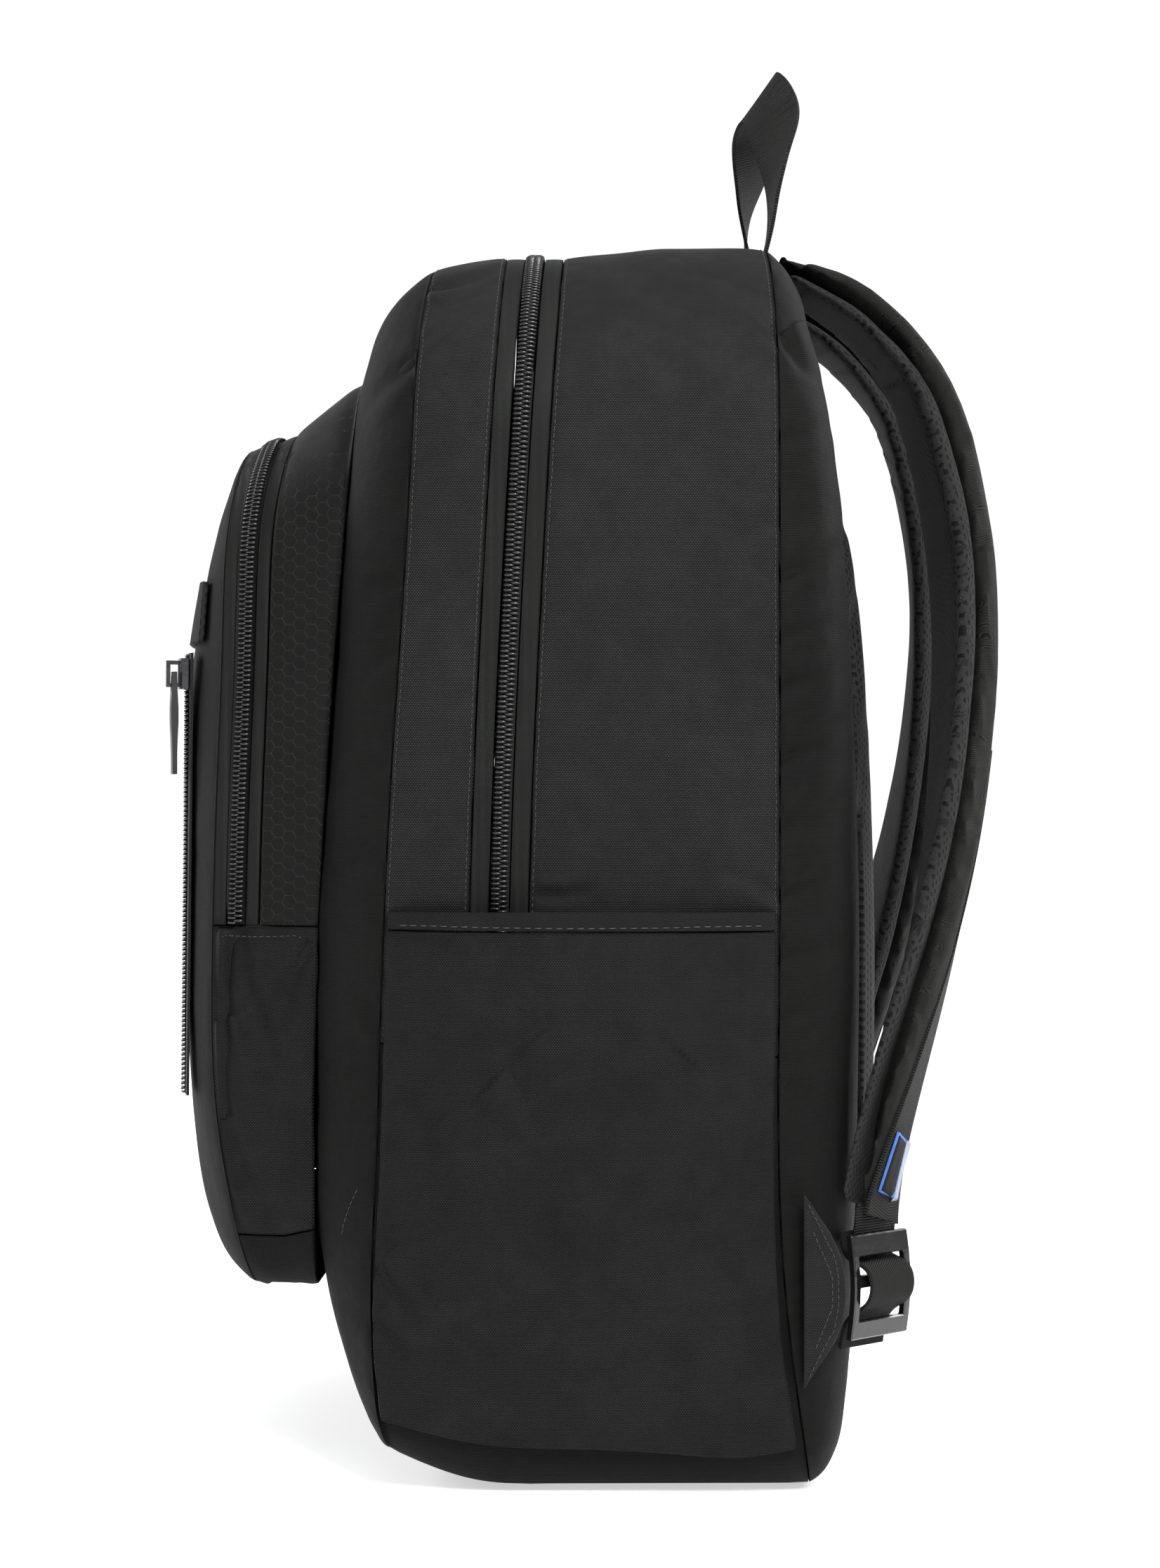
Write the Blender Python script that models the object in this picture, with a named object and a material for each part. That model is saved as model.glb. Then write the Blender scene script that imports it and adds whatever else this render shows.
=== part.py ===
"""School backpack, made from its sewn panels, padding, webbing, zips and buckles.

Frame: metres, +Z up. The origin is the middle of the flat base. The front, with the organiser
pocket, faces -Y. The padded back and the shoulder straps face +Y. +X is the wearer's right.
Lengths below are written in millimetres and multiplied by MM.
"""

import math

import bmesh
import bpy
import numpy as np
from mathutils import Matrix, Vector
from mathutils.bvhtree import BVHTree

MM = 0.001
SIDES = (("left", -1), ("right", 1))

# Overall shell
HALF_WIDTH = 150
TOP_FRONT = 465.5
TOP_ZIP = 470
TOP_REAR = 473.5
TOP_ARCH = 5
TOP_RADIUS = 75
BASE_RADIUS = 20
FRONT_LIFT = 13

# Materials' thickness and the gap that separate pieces keep
GAP = 0.3
LAYER_GAP = 0.7
CLOTH = 2.0
TAPE = 1.0
WEBBING = 1.4
WEBBING_WIDTH = 25

# Zips
COIL_HALF = 3.5
COIL_PROUD = 1.5
TAPE_HALF = 11

# Seam lines: how far forward or back each seam runs at a given height, as (z, y)
FRONT_SEAM = [(0, -67), (28, -75), (129, -75), (250, -71), (355, -64), (443, -59), (467, -56)]
ZIP_LINE = [(0, -30), (216, -30), (367, -23.5), (471, -17)]
MID_GUSSET = [(0, 25), (475, 28)]
REAR_SEAM = [(0, 86), (68, 76), (217, 74), (334, 74), (449, 73), (475, 72)]
POCKET_SEAM = [(69, -100), (125, -101), (211, -99), (324, -92), (425, -84)]

# Side pockets
POCKET_HEM_TOP = 216
POCKET_HEM = 7
POCKET_FOOT = [(-74, 28), (-47, 21), (20, 17), (70, 15), (83, 18)]
POCKET_SLACK = 9
SLIP_HEM = 209

# Moving pieces
STRAP_AXIS = (79, 474.5)
HANDLE_AXIS = (73, 474)
BUCKLE_CENTRE = (128.5, 111.5, 75)
BUCKLE_TURN = 45

FABRIC = ("oxford_fabric", (0.030, 0.031, 0.032), 0.85, 0.0)
PANEL = ("panel_fabric", (0.034, 0.033, 0.032), 0.85, 0.0)
HEX = ("embossed_fabric", (0.026, 0.026, 0.026), 0.75, 0.0)
MESH = ("air_mesh", (0.022, 0.022, 0.023), 0.95, 0.0)
FOAM = ("foam", (0.35, 0.35, 0.36), 0.95, 0.0)
NARROW = ("webbing", (0.024, 0.024, 0.024), 0.7, 0.0)
TAPE_CLOTH = ("zip_tape", (0.028, 0.030, 0.029), 0.8, 0.0)
COIL = ("zip_coil", (0.018, 0.018, 0.019), 0.3, 0.0)
METAL = ("slider_metal", (0.05, 0.05, 0.052), 0.3, 1.0)
PLASTIC = ("buckle_plastic", (0.012, 0.012, 0.012), 0.22, 0.0)
MOULDED = ("pull_rubber", (0.015, 0.015, 0.015), 0.5, 0.0)
LABEL = ("label_cloth", (0.10, 0.16, 0.30), 0.7, 0.0)


def clear_scene():
    for item in list(bpy.data.objects):
        bpy.data.objects.remove(item, do_unlink=True)


def material(spec):
    name, colour, roughness, metallic = spec
    found = bpy.data.materials.get(name)
    if found:
        return found
    made = bpy.data.materials.new(name)
    made.use_nodes = True
    shader = made.node_tree.nodes["Principled BSDF"]
    shader.inputs["Base Color"].default_value = (*colour, 1.0)
    shader.inputs["Roughness"].default_value = roughness
    shader.inputs["Metallic"].default_value = metallic
    return made


def curve(points, at):
    """Smooth curve through (position, value) points, read at any position."""
    keys = np.array([p[0] for p in points], float)
    values = np.array([p[1] for p in points], float)
    slopes = np.gradient(values, keys) if len(keys) > 1 else np.zeros(1)
    at = float(np.clip(at, keys[0], keys[-1]))
    k = int(np.clip(np.searchsorted(keys, at) - 1, 0, len(keys) - 2))
    span = keys[k + 1] - keys[k]
    t = (at - keys[k]) / span
    return ((2 * t**3 - 3 * t**2 + 1) * values[k] + (t**3 - 2 * t**2 + t) * span * slopes[k]
            + (3 * t**2 - 2 * t**3) * values[k + 1] + (t**3 - t**2) * span * slopes[k + 1])


def add_object(name, points, faces, look, pivot=(0, 0, 0)):
    """One closed piece. Points are in millimetres in the bag's frame; pivot becomes its origin."""
    mesh = bpy.data.meshes.new(name)
    origin = Vector(pivot) * MM
    mesh.from_pydata([Vector(p) * MM - origin for p in points], [], faces)
    work = bmesh.new()
    work.from_mesh(mesh)
    bmesh.ops.triangulate(work, faces=[f for f in work.faces if len(f.verts) > 4])
    bmesh.ops.recalc_face_normals(work, faces=work.faces)
    work.to_mesh(mesh)
    work.free()
    piece = bpy.data.objects.new(name, mesh)
    piece.location = origin
    bpy.context.scene.collection.objects.link(piece)
    mesh.materials.append(material(look))
    mesh.shade_smooth()
    mesh.set_sharp_from_angle(angle=math.radians(40))
    return piece


# --- Shells: stacks of rounded outlines, each panel being a band of the stack ---------------


def half_outline(half, top, base, top_radius, base_radius, counts, hem=None):
    """Right half of a rounded outline, from the middle of its base up to the middle of its top.

    hem = (step, z) puts one of the steps up the side at a given height.
    """
    base_steps, corner_steps, side_steps, arc_steps, top_steps = counts
    points = []
    for k in range(base_steps):
        points.append(((half - base_radius) * k / base_steps, base))
    for k in range(corner_steps):
        angle = math.radians(-90 + 90 * k / corner_steps)
        points.append((half - base_radius + base_radius * math.cos(angle),
                       base + base_radius + base_radius * math.sin(angle)))
    low, high = base + base_radius, top - top_radius
    knots = [(0, low), hem, (side_steps, high)] if hem else [(0, low), (side_steps, high)]
    for k in range(side_steps):
        points.append((half, curve(knots, k)))
    for k in range(arc_steps):
        angle = math.radians(90 * k / arc_steps)
        points.append((half - top_radius + top_radius * math.cos(angle),
                       top - top_radius + top_radius * math.sin(angle)))
    for k in range(top_steps + 1):
        points.append(((half - top_radius) * (1 - k / top_steps), top))
    return points


class Shell:
    """Rows of matching closed outlines from the front of a shell to its back."""

    def __init__(self, counts, arch, hem=None):
        self.counts = counts
        self.arch = arch
        self.hem = hem
        self.rows = []
        self.names = {}

    def row(self, half, top, base, radii, line, shift=0.0, name=None, flat=1.0, centre=0.0):
        """line gives y from z. flat below 1 shrinks the outline towards its middle."""
        right = half_outline(half, top, base, radii[0], radii[1], self.counts, self.hem)
        middle = (top + base) / 2
        ring = []
        for x, z in right:
            rise = max(0.0, (z - middle) / (top - middle))
            drop = self.arch * rise * (x / half) ** 2
            x_in = x * flat
            z_in = middle + (z - drop - middle) * flat
            ring.append((x_in, curve(line, z_in) + shift + centre * (1 - flat**2), z_in))
        left = [(-x, y, z) for x, y, z in reversed(ring[1:-1])]
        if name:
            self.names[name] = len(self.rows)
        self.rows.append(ring + left)

    def build(self):
        self.points = np.array(self.rows, float)
        step = np.abs(np.diff(self.points, axis=0)).max(axis=(1, 2))
        group = np.concatenate([[0], np.cumsum(step > 2 * GAP)])
        merged = np.array([self.points[group == g].mean(axis=0) for g in range(group[-1] + 1)])
        along = np.gradient(merged, axis=0)
        across = (np.roll(merged, -1, axis=1) - np.roll(merged, 1, axis=1)) / 2
        normal = np.cross(across, along)
        length = np.linalg.norm(normal, axis=2, keepdims=True)
        self.normals = (normal / np.maximum(length, 1e-9))[group]
        centre = self.points.mean(axis=(0, 1))
        outward = ((self.points - centre) * self.normals).sum()
        if outward < 0:
            self.normals = -self.normals
        self.width = self.points.shape[1]

    def surface(self):
        """Outer skin as a search tree, for laying other pieces on it."""
        rows, width = self.points.shape[:2]
        faces = [(r * width + c, r * width + (c + 1) % width, (r + 1) * width + (c + 1) % width,
                  (r + 1) * width + c) for r in range(rows - 1) for c in range(width)]
        faces.append(tuple(range(width)))
        faces.append(tuple((rows - 1) * width + c for c in range(width)))
        return BVHTree.FromPolygons([Vector(p) for p in self.points.reshape(-1, 3)], faces)

    def band(self, name, look, start, end, proud=0.0, deep=CLOTH, columns=None, caps=(False, False)):
        """A panel: the rows from start to end, optionally only some columns, given a thickness."""
        first, last = self.names[start], self.names[end]
        closed = columns is None
        picked = list(range(self.width)) if closed else columns
        trim = GAP / 2
        sheets = []
        for offset in (proud, -deep):
            sheet = []
            for r in range(first, last + 1):
                line = [self.points[r, c % self.width] + offset * self.normals[r, c % self.width]
                        for c in picked]
                if not closed:
                    for tip, nxt in ((0, 1), (-1, -2)):
                        step = line[nxt] - line[tip]
                        line[tip] = line[tip] + step * trim / np.linalg.norm(step)
                sheet.append(line)
            sheets.append(sheet)
        return sheet_solid(name, look, sheets, closed, caps)


def sheet_solid(name, look, sheets, closed=False, caps=(False, False), pivot=(0, 0, 0)):
    """A closed solid between an outer and an inner grid of points."""
    rows, columns = len(sheets[0]), len(sheets[0][0])
    points = [tuple(p) for sheet in sheets for line in sheet for p in line]
    far = rows * columns

    def at(sheet, r, c):
        return sheet * far + r * columns + c % columns

    faces = []
    spans = columns if closed else columns - 1
    for r in range(rows - 1):
        for c in range(spans):
            quad = [(r, c), (r, c + 1), (r + 1, c + 1), (r + 1, c)]
            faces.append(tuple(at(0, *q) for q in quad))
            faces.append(tuple(at(1, *q) for q in reversed(quad)))
    for r, cap in ((0, caps[0]), (rows - 1, caps[1])):
        if cap:
            faces.append(tuple(at(0, r, c) for c in range(columns)))
            faces.append(tuple(at(1, r, c) for c in range(columns)))
            continue
        for c in range(spans):
            faces.append((at(0, r, c), at(1, r, c), at(1, r, c + 1), at(0, r, c + 1)))
    if not closed:
        for c in (0, columns - 1):
            for r in range(rows - 1):
                faces.append((at(0, r, c), at(0, r + 1, c), at(1, r + 1, c), at(1, r, c)))
    return add_object(name, points, faces, look, pivot)


def body_shell():
    """The main compartment's skin, from the middle of the front to the middle of the back."""
    shell = Shell((3, 3, 8, 6, 3), TOP_ARCH)
    radii = (TOP_RADIUS, BASE_RADIUS)
    front = (118, 422, 71, (60, 25), POCKET_SEAM)
    shell.row(*front, name="front_middle", flat=0.15)
    shell.row(*front, flat=0.6)
    shell.row(*front)
    shell.row(137, 451, 22, (68, 22), [(20, -80), (125, -91), (211, -89), (451, -76)])
    half = HALF_WIDTH
    seam = GAP / 2
    shell.row(half, TOP_FRONT, FRONT_LIFT, radii, FRONT_SEAM, -seam, name="front_seam_before")
    shell.row(half, TOP_FRONT, FRONT_LIFT, radii, FRONT_SEAM, seam, name="front_seam_after")
    zip_rows = ((-TAPE_HALF, "tape_front"), (-COIL_HALF - seam, "coil_front"),
                (COIL_HALF + seam, "coil_rear"), (TAPE_HALF, "tape_rear"))
    for offset, name in zip_rows:
        for side, word in ((-seam, "before"), (seam, "after")):
            shell.row(half + 1.5, TOP_ZIP, 0, radii, ZIP_LINE, offset + side, name=f"{name}_{word}")
    shell.row(half + 2, TOP_ZIP + 2, 0, radii, MID_GUSSET)
    shell.row(half, TOP_REAR, 0, radii, REAR_SEAM, -seam, name="rear_seam_before")
    shell.row(half, TOP_REAR, 0, radii, REAR_SEAM, seam, name="rear_seam_after")
    shell.row(143, 466, 6, (72, 20), [(6, 93), (40, 90), (110, 88), (229, 91), (400, 88), (467, 80)])
    shell.row(128, 452, 19, (66, 22), [(19, 99), (100, 98), (229, 102), (393, 95), (453, 87)])
    back = (104, 424, 36, (58, 25), [(36, 105), (100, 107), (229, 108), (350, 101), (425, 91)])
    shell.row(*back)
    shell.row(*back, flat=0.6)
    shell.row(*back, name="back_middle", flat=0.15)
    shell.build()
    return shell


def make_body(shell):
    cut = 9
    width = shell.width
    upper = list(range(cut, width - cut + 1))
    lower = list(range(width - cut, width + cut + 1))
    shell.band("front_panel", PANEL, "front_middle", "front_seam_before", caps=(True, False))
    shell.band("back_panel", PANEL, "rear_seam_after", "back_middle", caps=(False, True))
    shell.band("base_gusset", FABRIC, "front_seam_after", "rear_seam_before", columns=lower)
    shell.band("gusset_front", FABRIC, "front_seam_after", "tape_front_before", columns=upper)
    shell.band("gusset_rear", FABRIC, "tape_rear_after", "rear_seam_before", columns=upper)
    shell.band("main_zip_tape_front", TAPE_CLOTH, "tape_front_after", "coil_front_before",
               deep=TAPE, columns=upper)
    shell.band("main_zip_tape_rear", TAPE_CLOTH, "coil_rear_after", "tape_rear_before",
               deep=TAPE, columns=upper)
    shell.band("main_zip_coil", COIL, "coil_front_after", "coil_rear_before",
               proud=COIL_PROUD, deep=TAPE, columns=upper)


def pocket_shell():
    """The organiser pocket's skin, from its seam on the front panel to the middle of its face."""
    shell = Shell((2, 3, 7, 5, 2), 4, hem=(3, SLIP_HEM))
    seam = GAP / 2
    shell.row(120, 424, 69, (60, 25), POCKET_SEAM, -1.2, name="pocket_rear")
    zip_line = [(69, -116), (120, -128.5), (222, -131), (302, -128), (377, -124.5), (401, -120.5)]
    rows = ((-TAPE_HALF + 2, "tape_outer", 0.6), (-COIL_HALF - seam, "coil_outer", 0.2),
            (COIL_HALF + seam, "coil_inner", -0.2), (TAPE_HALF - 2, "tape_inner", -0.6))
    for offset, name, spread in rows:
        for side, word in ((-seam, "before"), (seam, "after")):
            shell.row(112 + 4 * spread, 400 + 5 * spread, 69, (55, 22), zip_line,
                      -(offset + side), name=f"{name}_{word}")
    shell.row(86, 384, 78, (46, 20), [(78, -140), (150, -150), (250, -149), (340, -145), (384, -137)])
    shell.row(60, 350, 102, (34, 16), [(102, -151), (190, -155), (300, -154), (350, -148)])
    shell.row(28, 318, 140, (20, 12), [(140, -156), (200, -159), (318, -156)], name="face_middle")
    shell.build()
    return shell


def make_pocket(shell):
    cut = 8
    width = shell.width
    upper = list(range(cut, width - cut + 1))
    base_steps = 5
    shell.band("pocket_gusset", HEX, "pocket_rear", "tape_outer_before", deep=1.5, columns=upper)
    shell.band("pocket_zip_tape_rear", TAPE_CLOTH, "tape_outer_after", "coil_outer_before",
               deep=TAPE, columns=upper)
    shell.band("pocket_zip_coil", COIL, "coil_outer_after", "coil_inner_before",
               proud=COIL_PROUD, deep=TAPE, columns=upper)
    shell.band("pocket_zip_tape_front", TAPE_CLOTH, "coil_inner_after", "tape_inner_before",
               deep=TAPE, columns=upper)
    ways = {"right": list(range(base_steps, cut + 1)),
            "left": list(range(width - cut, width - base_steps + 1)),
            "base": list(range(width - base_steps, width + base_steps + 1))}
    for side in ("left", "right"):
        shell.band(f"pocket_side_{side}", FABRIC, "pocket_rear", "tape_inner_before",
                   deep=1.5, columns=ways[side])
    shell.band("pocket_base", PANEL, "pocket_rear", "tape_inner_before", deep=1.5,
               columns=ways["base"])
    shell.band("pocket_front_panel", PANEL, "tape_inner_after", "face_middle", caps=(False, True))


# --- Strips: webbing, straps, tabs and rods swept along a route ------------------------------


def smooth_route(points, steps):
    """Catmull-Rom route through hand-set points."""
    keys = np.array(points, float)
    padded = np.vstack([2 * keys[0] - keys[1], keys, 2 * keys[-1] - keys[-2]])
    route = []
    for k in range(len(keys) - 1):
        a, b, c, d = padded[k:k + 4]
        for s in range(steps):
            t = s / steps
            route.append(0.5 * (2 * b + (c - a) * t + (2 * a - 5 * b + 4 * c - d) * t**2
                                + (3 * b - a - 3 * c + d) * t**3))
    route.append(keys[-1])
    return np.array(route)


def strip(name, look, points, outward, steps=3, across=3, layer=None, width=None, crown=0.0,
          span=(None, None), pivot=(0, 0, 0)):
    """Flat strip along a route, whose points are x, y, z, width, thickness, turn and tilt.

    The width points turn degrees from +X in plan and tilt degrees upwards. outward picks the side that the outer face
    looks to at the start. layer gives the outer and inner offset from the route for a
    thickness, so that several layers can share one route. span keeps only some stations.
    """
    layer = layer or (lambda thick: (0.0, -thick))
    route = smooth_route(points, steps)
    tangents = np.gradient(route[:, :3], axis=0)
    sign = None
    sheets = [[], []]
    for station, tangent in zip(route, tangents):
        along = Vector(tangent).normalized()
        turn, tilt = (math.radians(angle) for angle in station[5:7])
        side = Vector((math.cos(turn), math.sin(turn), math.tan(tilt)))
        side = (side - along * side.dot(along)).normalized()
        out = side.cross(along).normalized()
        sign = sign or (1 if out.dot(Vector(outward)) > 0 else -1)
        half = (width or station[3]) / 2
        offsets = layer(station[4])
        for offset, sheet in zip(offsets, sheets):
            bow = crown if offset == offsets[0] else 0.0
            spread = [2 * k / across - 1 for k in range(across + 1)]
            sheet.append([Vector(station[:3]) + side * (u * half)
                          + out * sign * (offset + bow * (1 - u * u)) for u in spread])
    kept = slice(*span)
    return sheet_solid(name, look, [sheet[kept] for sheet in sheets], pivot=pivot)


def slotted_plate(name, look, columns, rows, holes, thickness, place, pivot=(0, 0, 0)):
    """Plate of cells between the column and row lines, without the cells named as holes."""
    wide, high = len(columns), len(rows)
    points = []
    for w in (0.0, thickness):
        points += [place(u, v, w) for v in rows for u in columns]

    def at(layer, r, c):
        return layer * wide * high + r * wide + c

    kept = {(r, c) for r in range(high - 1) for c in range(wide - 1)} - set(holes)
    faces = []
    for r, c in sorted(kept):
        faces.append((at(1, r, c), at(1, r, c + 1), at(1, r + 1, c + 1), at(1, r + 1, c)))
        faces.append((at(0, r, c), at(0, r + 1, c), at(0, r + 1, c + 1), at(0, r, c + 1)))
        borders = (((r - 1, c), (r, c), (r, c + 1)), ((r + 1, c), (r + 1, c + 1), (r + 1, c)),
                   ((r, c - 1), (r + 1, c), (r, c)), ((r, c + 1), (r, c + 1), (r + 1, c + 1)))
        for neighbour, a, b in borders:
            if neighbour not in kept:
                faces.append((at(0, *a), at(0, *b), at(1, *b), at(1, *a)))
    return add_object(name, points, faces, look, pivot)


# --- Side pockets -----------------------------------------------------------------------------


def side_pocket_point(side, v, w, offset):
    """Point of a side pocket's wall: v from its front seam to its rear seam, w from foot to hem."""
    top = POCKET_HEM_TOP
    low = curve(POCKET_FOOT, -74)
    front = curve(FRONT_SEAM, low + (top - low) * w) + 1.5
    rear = curve(REAR_SEAM, low + (top - low) * w) - 1.5
    y = front + (rear - front) * v
    foot = curve(POCKET_FOOT, y)
    z = foot + (top - foot) * w
    arch = math.sin(math.pi * v)
    fullness = POCKET_SLACK * arch**0.7 * (0.25 + 0.75 * w) * min(1.0, 5 * w)
    x = HALF_WIDTH + 0.9 + 2.4 * arch + fullness + offset
    return (side * x, y, z)


def make_side_pocket(word, side):
    columns, rows = 12, 8
    top = 1 - (POCKET_HEM + GAP) / (POCKET_HEM_TOP - 20)
    grids = {"side_pocket": (0.0, top, rows, 1.5), "side_pocket_hem": (top + 0.002, 1.0, 1, 2.6)}
    for name, (low, high, steps, thick) in grids.items():
        sheets = []
        for offset in (thick, 0.0):
            sheets.append([[side_pocket_point(side, c / columns, low + (high - low) * r / steps, offset)
                            for c in range(columns + 1)] for r in range(steps + 1)])
        sheet_solid(f"{name}_{word}", FABRIC, sheets)


# --- Zip sliders and pulls --------------------------------------------------------------------


def zip_frame(point, travel, outward):
    """Axes of a slider: along its travel, across the zip, and out of the bag."""
    along = Vector(travel).normalized()
    out = Vector(outward)
    out = (out - along * out.dot(along)).normalized()
    across = out.cross(along).normalized()
    return Vector(point), along, across, out


def placer(frame):
    origin, along, across, out = frame

    def place(u, v, w):
        return origin + across * u + along * v + out * w

    return place


def make_slider(name, frame):
    """Slider body that straddles the coil, with a wire bridge that carries the pull."""
    origin, along, across, out = frame
    place = placer(frame)
    lift = COIL_PROUD + GAP
    plate, flange, half = 1.6, 1.2, 5.6
    inner = half - flange
    profile = [(-half, 0.4), (-inner, 0.4), (-inner, lift), (inner, lift), (inner, 0.4), (half, 0.4),
               (half, lift + plate - 0.6), (half - 1.2, lift + plate), (-half + 1.2, lift + plate),
               (-half, lift + plate - 0.6)]
    ends = (-6, 6)
    points = [place(u, v, w) for v in ends for u, w in profile]
    count = len(profile)
    faces = [tuple(range(count)), tuple(range(2 * count - 1, count - 1, -1))]
    faces += [(k, (k + 1) % count, count + (k + 1) % count, count + k) for k in range(count)]
    body = add_object(name, points, faces, METAL, pivot=tuple(origin))

    def upright(u, v, w):
        return origin + along * u + out * (lift + plate - 0.4 + v) + across * (w - 1)

    bridge = slotted_plate(f"{name}_bridge", METAL, (-5.2, -3.6, 3.6, 5.2), (0, 1.0, 4.0, 5.6),
                           {(1, 1)}, 2.0, upright, pivot=tuple(origin))
    join = body.modifiers.new("join", "BOOLEAN")
    join.operation = "UNION"
    join.object = bridge
    bridge.hide_render = True
    bridge.display_type = "WIRE"
    return lift + plate + 2.1


def make_pull(name, frame, height, hang, length=38, turn=0.0):
    """Pull tab: an eye around the bridge, a thin neck, a fuller grip and a thin tail."""
    origin, along, across, out = frame
    pivot = origin + out * height
    down = Vector(hang).normalized()
    down = Matrix.Rotation(math.radians(turn), 3, across) @ down
    normal = across.cross(down).normalized()

    def place(u, v, w):
        grip = 0.6 * math.exp(-((v - 17) / 9) ** 2)
        half = 0.9 + grip
        return pivot + across * u + down * (v - 0.8) + normal * (-half + 2 * half * w)

    rows = (0, 1.6, 7.6, 10, 14, 20, 26, 32, length)
    slotted_plate(name, MOULDED, (-3.4, -1.6, 1.6, 3.4), rows, {(1, 1)}, 1.0, place,
                  pivot=tuple(pivot))
    return pivot


# --- Assembly ---------------------------------------------------------------------------------


def on_surface(tree, start, direction):
    hit = tree.ray_cast(Vector(start), Vector(direction))[0]
    return hit


def make_front_band(pocket):
    """Webbing band across the organiser pocket's face, sewn in at its zip tapes."""
    low, high, columns = 318, 318 + WEBBING_WIDTH - 2, 14
    reach = 92
    sheets = []
    for offset in (GAP + 2.2, GAP):
        sheet = []
        for z in (low, (low + high) / 2, high):
            line = []
            for c in range(columns + 1):
                x = reach * math.sin(math.pi / 2 * (2 * c / columns - 1))
                hit, normal = pocket.ray_cast(Vector((x, -300, z)), Vector((0, 1, 0)))[:2]
                normal = normal if normal.y < 0 else -normal
                line.append(hit + normal * (offset + 0.6))
            sheet.append(line)
        sheets.append(sheet)
    sheet_solid("front_band", NARROW, sheets)


def make_front_zip(pocket):
    """Upright zip of the small pocket in the organiser pocket's face, straight for its slider."""
    x, top, foot = 78, 314, 142
    heights = np.linspace(foot, top, 9)
    edges = (-9, -3.8, -3.5, 3.5, 3.8, 9)
    skin = {(u, z): on_surface(pocket, (x + u, -300, z), (0, 1, 0)).y for u in edges for z in heights}

    def straight(u, z):
        share = (z - foot) / (top - foot)
        return skin[u, foot] * (1 - share) + skin[u, top] * share

    clear = max(straight(u, z) - skin[u, z] for u in edges for z in heights) + 3 * GAP
    strips = (("front_zip_tape_left", TAPE_CLOTH, edges[:2], TAPE),
              ("front_zip_coil", COIL, edges[2:4], TAPE + COIL_PROUD),
              ("front_zip_tape_right", TAPE_CLOTH, edges[4:], TAPE))
    for name, look, pair, proud in strips:
        sheets = []
        for offset in (proud, 0.0):
            sheets.append([[(x + u, straight(u, z) - clear - offset, z) for u in pair]
                           for z in heights])
        sheet_solid(name, look, sheets)

    def seat(z):
        middle = (straight(-3.5, z) + straight(3.5, z)) / 2
        return Vector((x, middle - clear - TAPE, z))

    lean = straight(3.5, top) - straight(-3.5, top)
    return seat(top - 8), seat(foot + 8), Vector((lean, -7, 0))


def strap_route(side):
    """Outer face of a shoulder strap from the top seam to its lower end."""
    rows = [(44, 79, 475.5, 62, 2.0, 0), (45, 92, 469.5, 64, 6, 0), (46, 107, 460, 66, 10, 1),
            (47, 122, 448, 66, 12, 2), (49, 140, 427, 66, 12.5, 3), (52, 151, 399, 66, 12.5, 4),
            (56, 158, 366, 66, 12.5, 4), (61, 160, 335, 66, 12, 4), (68, 158.5, 296, 66, 11.5, 2),
            (80, 153, 250, 64, 11, -1), (94, 143, 205, 58, 10.5, -7), (108, 130, 164, 52, 10, -14),
            (118, 118.5, 130, 44, 8, -22), (123, 112.5, 108, 37, 6, -31), (125, 111, 99, 33, 5, -34)]
    return [(side * x, y, z, w, t, side * turn, 0) for x, y, z, w, t, turn in rows]


def make_strap(word, side):
    """Padded strap: cover and foam above, air mesh on the wearer's face, webbing along the top."""
    route = strap_route(side)
    shared = {"outward": (0, 0, 1), "steps": 2, "pivot": (0, *STRAP_AXIS)}
    split = 0.62
    web_foot = 1.5 + LAYER_GAP
    strip(f"shoulder_pad_{word}", PANEL, route, across=4, crown=1.5,
          layer=lambda t: (0.0, -split * t), **shared)
    strip(f"pad_mesh_{word}", MESH, route, across=4, span=(2, -1),
          layer=lambda t: (-split * t - LAYER_GAP, -t - LAYER_GAP), **shared)
    strip(f"pad_webbing_{word}", NARROW, route, across=2, span=(17, None), width=WEBBING_WIDTH,
          layer=lambda t: (web_foot + WEBBING, web_foot), **shared)
    if side > 0:
        label_foot = web_foot + WEBBING + GAP
        strip("strap_label", LABEL, route, across=2, span=(-5, -2), width=17,
              layer=lambda t: (label_foot + 0.8, label_foot), **shared)


def buckle_frame(side):
    turn = math.radians(BUCKLE_TURN)
    across = Vector((side * math.cos(turn), -math.sin(turn), 0))
    out = Vector((side * math.sin(turn), math.cos(turn), 0))
    x, y, z = BUCKLE_CENTRE
    return Vector((side * x, y, z)), across, out


def make_buckle(word, side):
    """Ladder lock: two curved rails joined by a sewn-in bar, a grip bar and a lower lip."""
    centre, across, out = buckle_frame(side)

    def place(u, v, w):
        bend = 2.2 * math.sin(math.pi * (v + 19.5) / 39)
        return centre + across * u + Vector((0, 0, v)) + out * (w - 1.6 + bend)

    columns = (-16.2, -13, 13, 16.2)
    rows = (-19.5, -16.5, -12.5, -5, 0, 4.5, 11.5, 16, 19.5)
    holes = {(2, 1), (3, 1), (5, 1)}
    pivot = centre + Vector((0, 0, 17.5))
    lock = slotted_plate(f"ladder_lock_{word}", PLASTIC, columns, rows, holes, 3.2, place,
                         pivot=tuple(pivot))
    edge = lock.modifiers.new("round_edges", "BEVEL")
    edge.width = 0.5 * MM
    edge.segments = 1
    edge.limit_method = "ANGLE"


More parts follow.
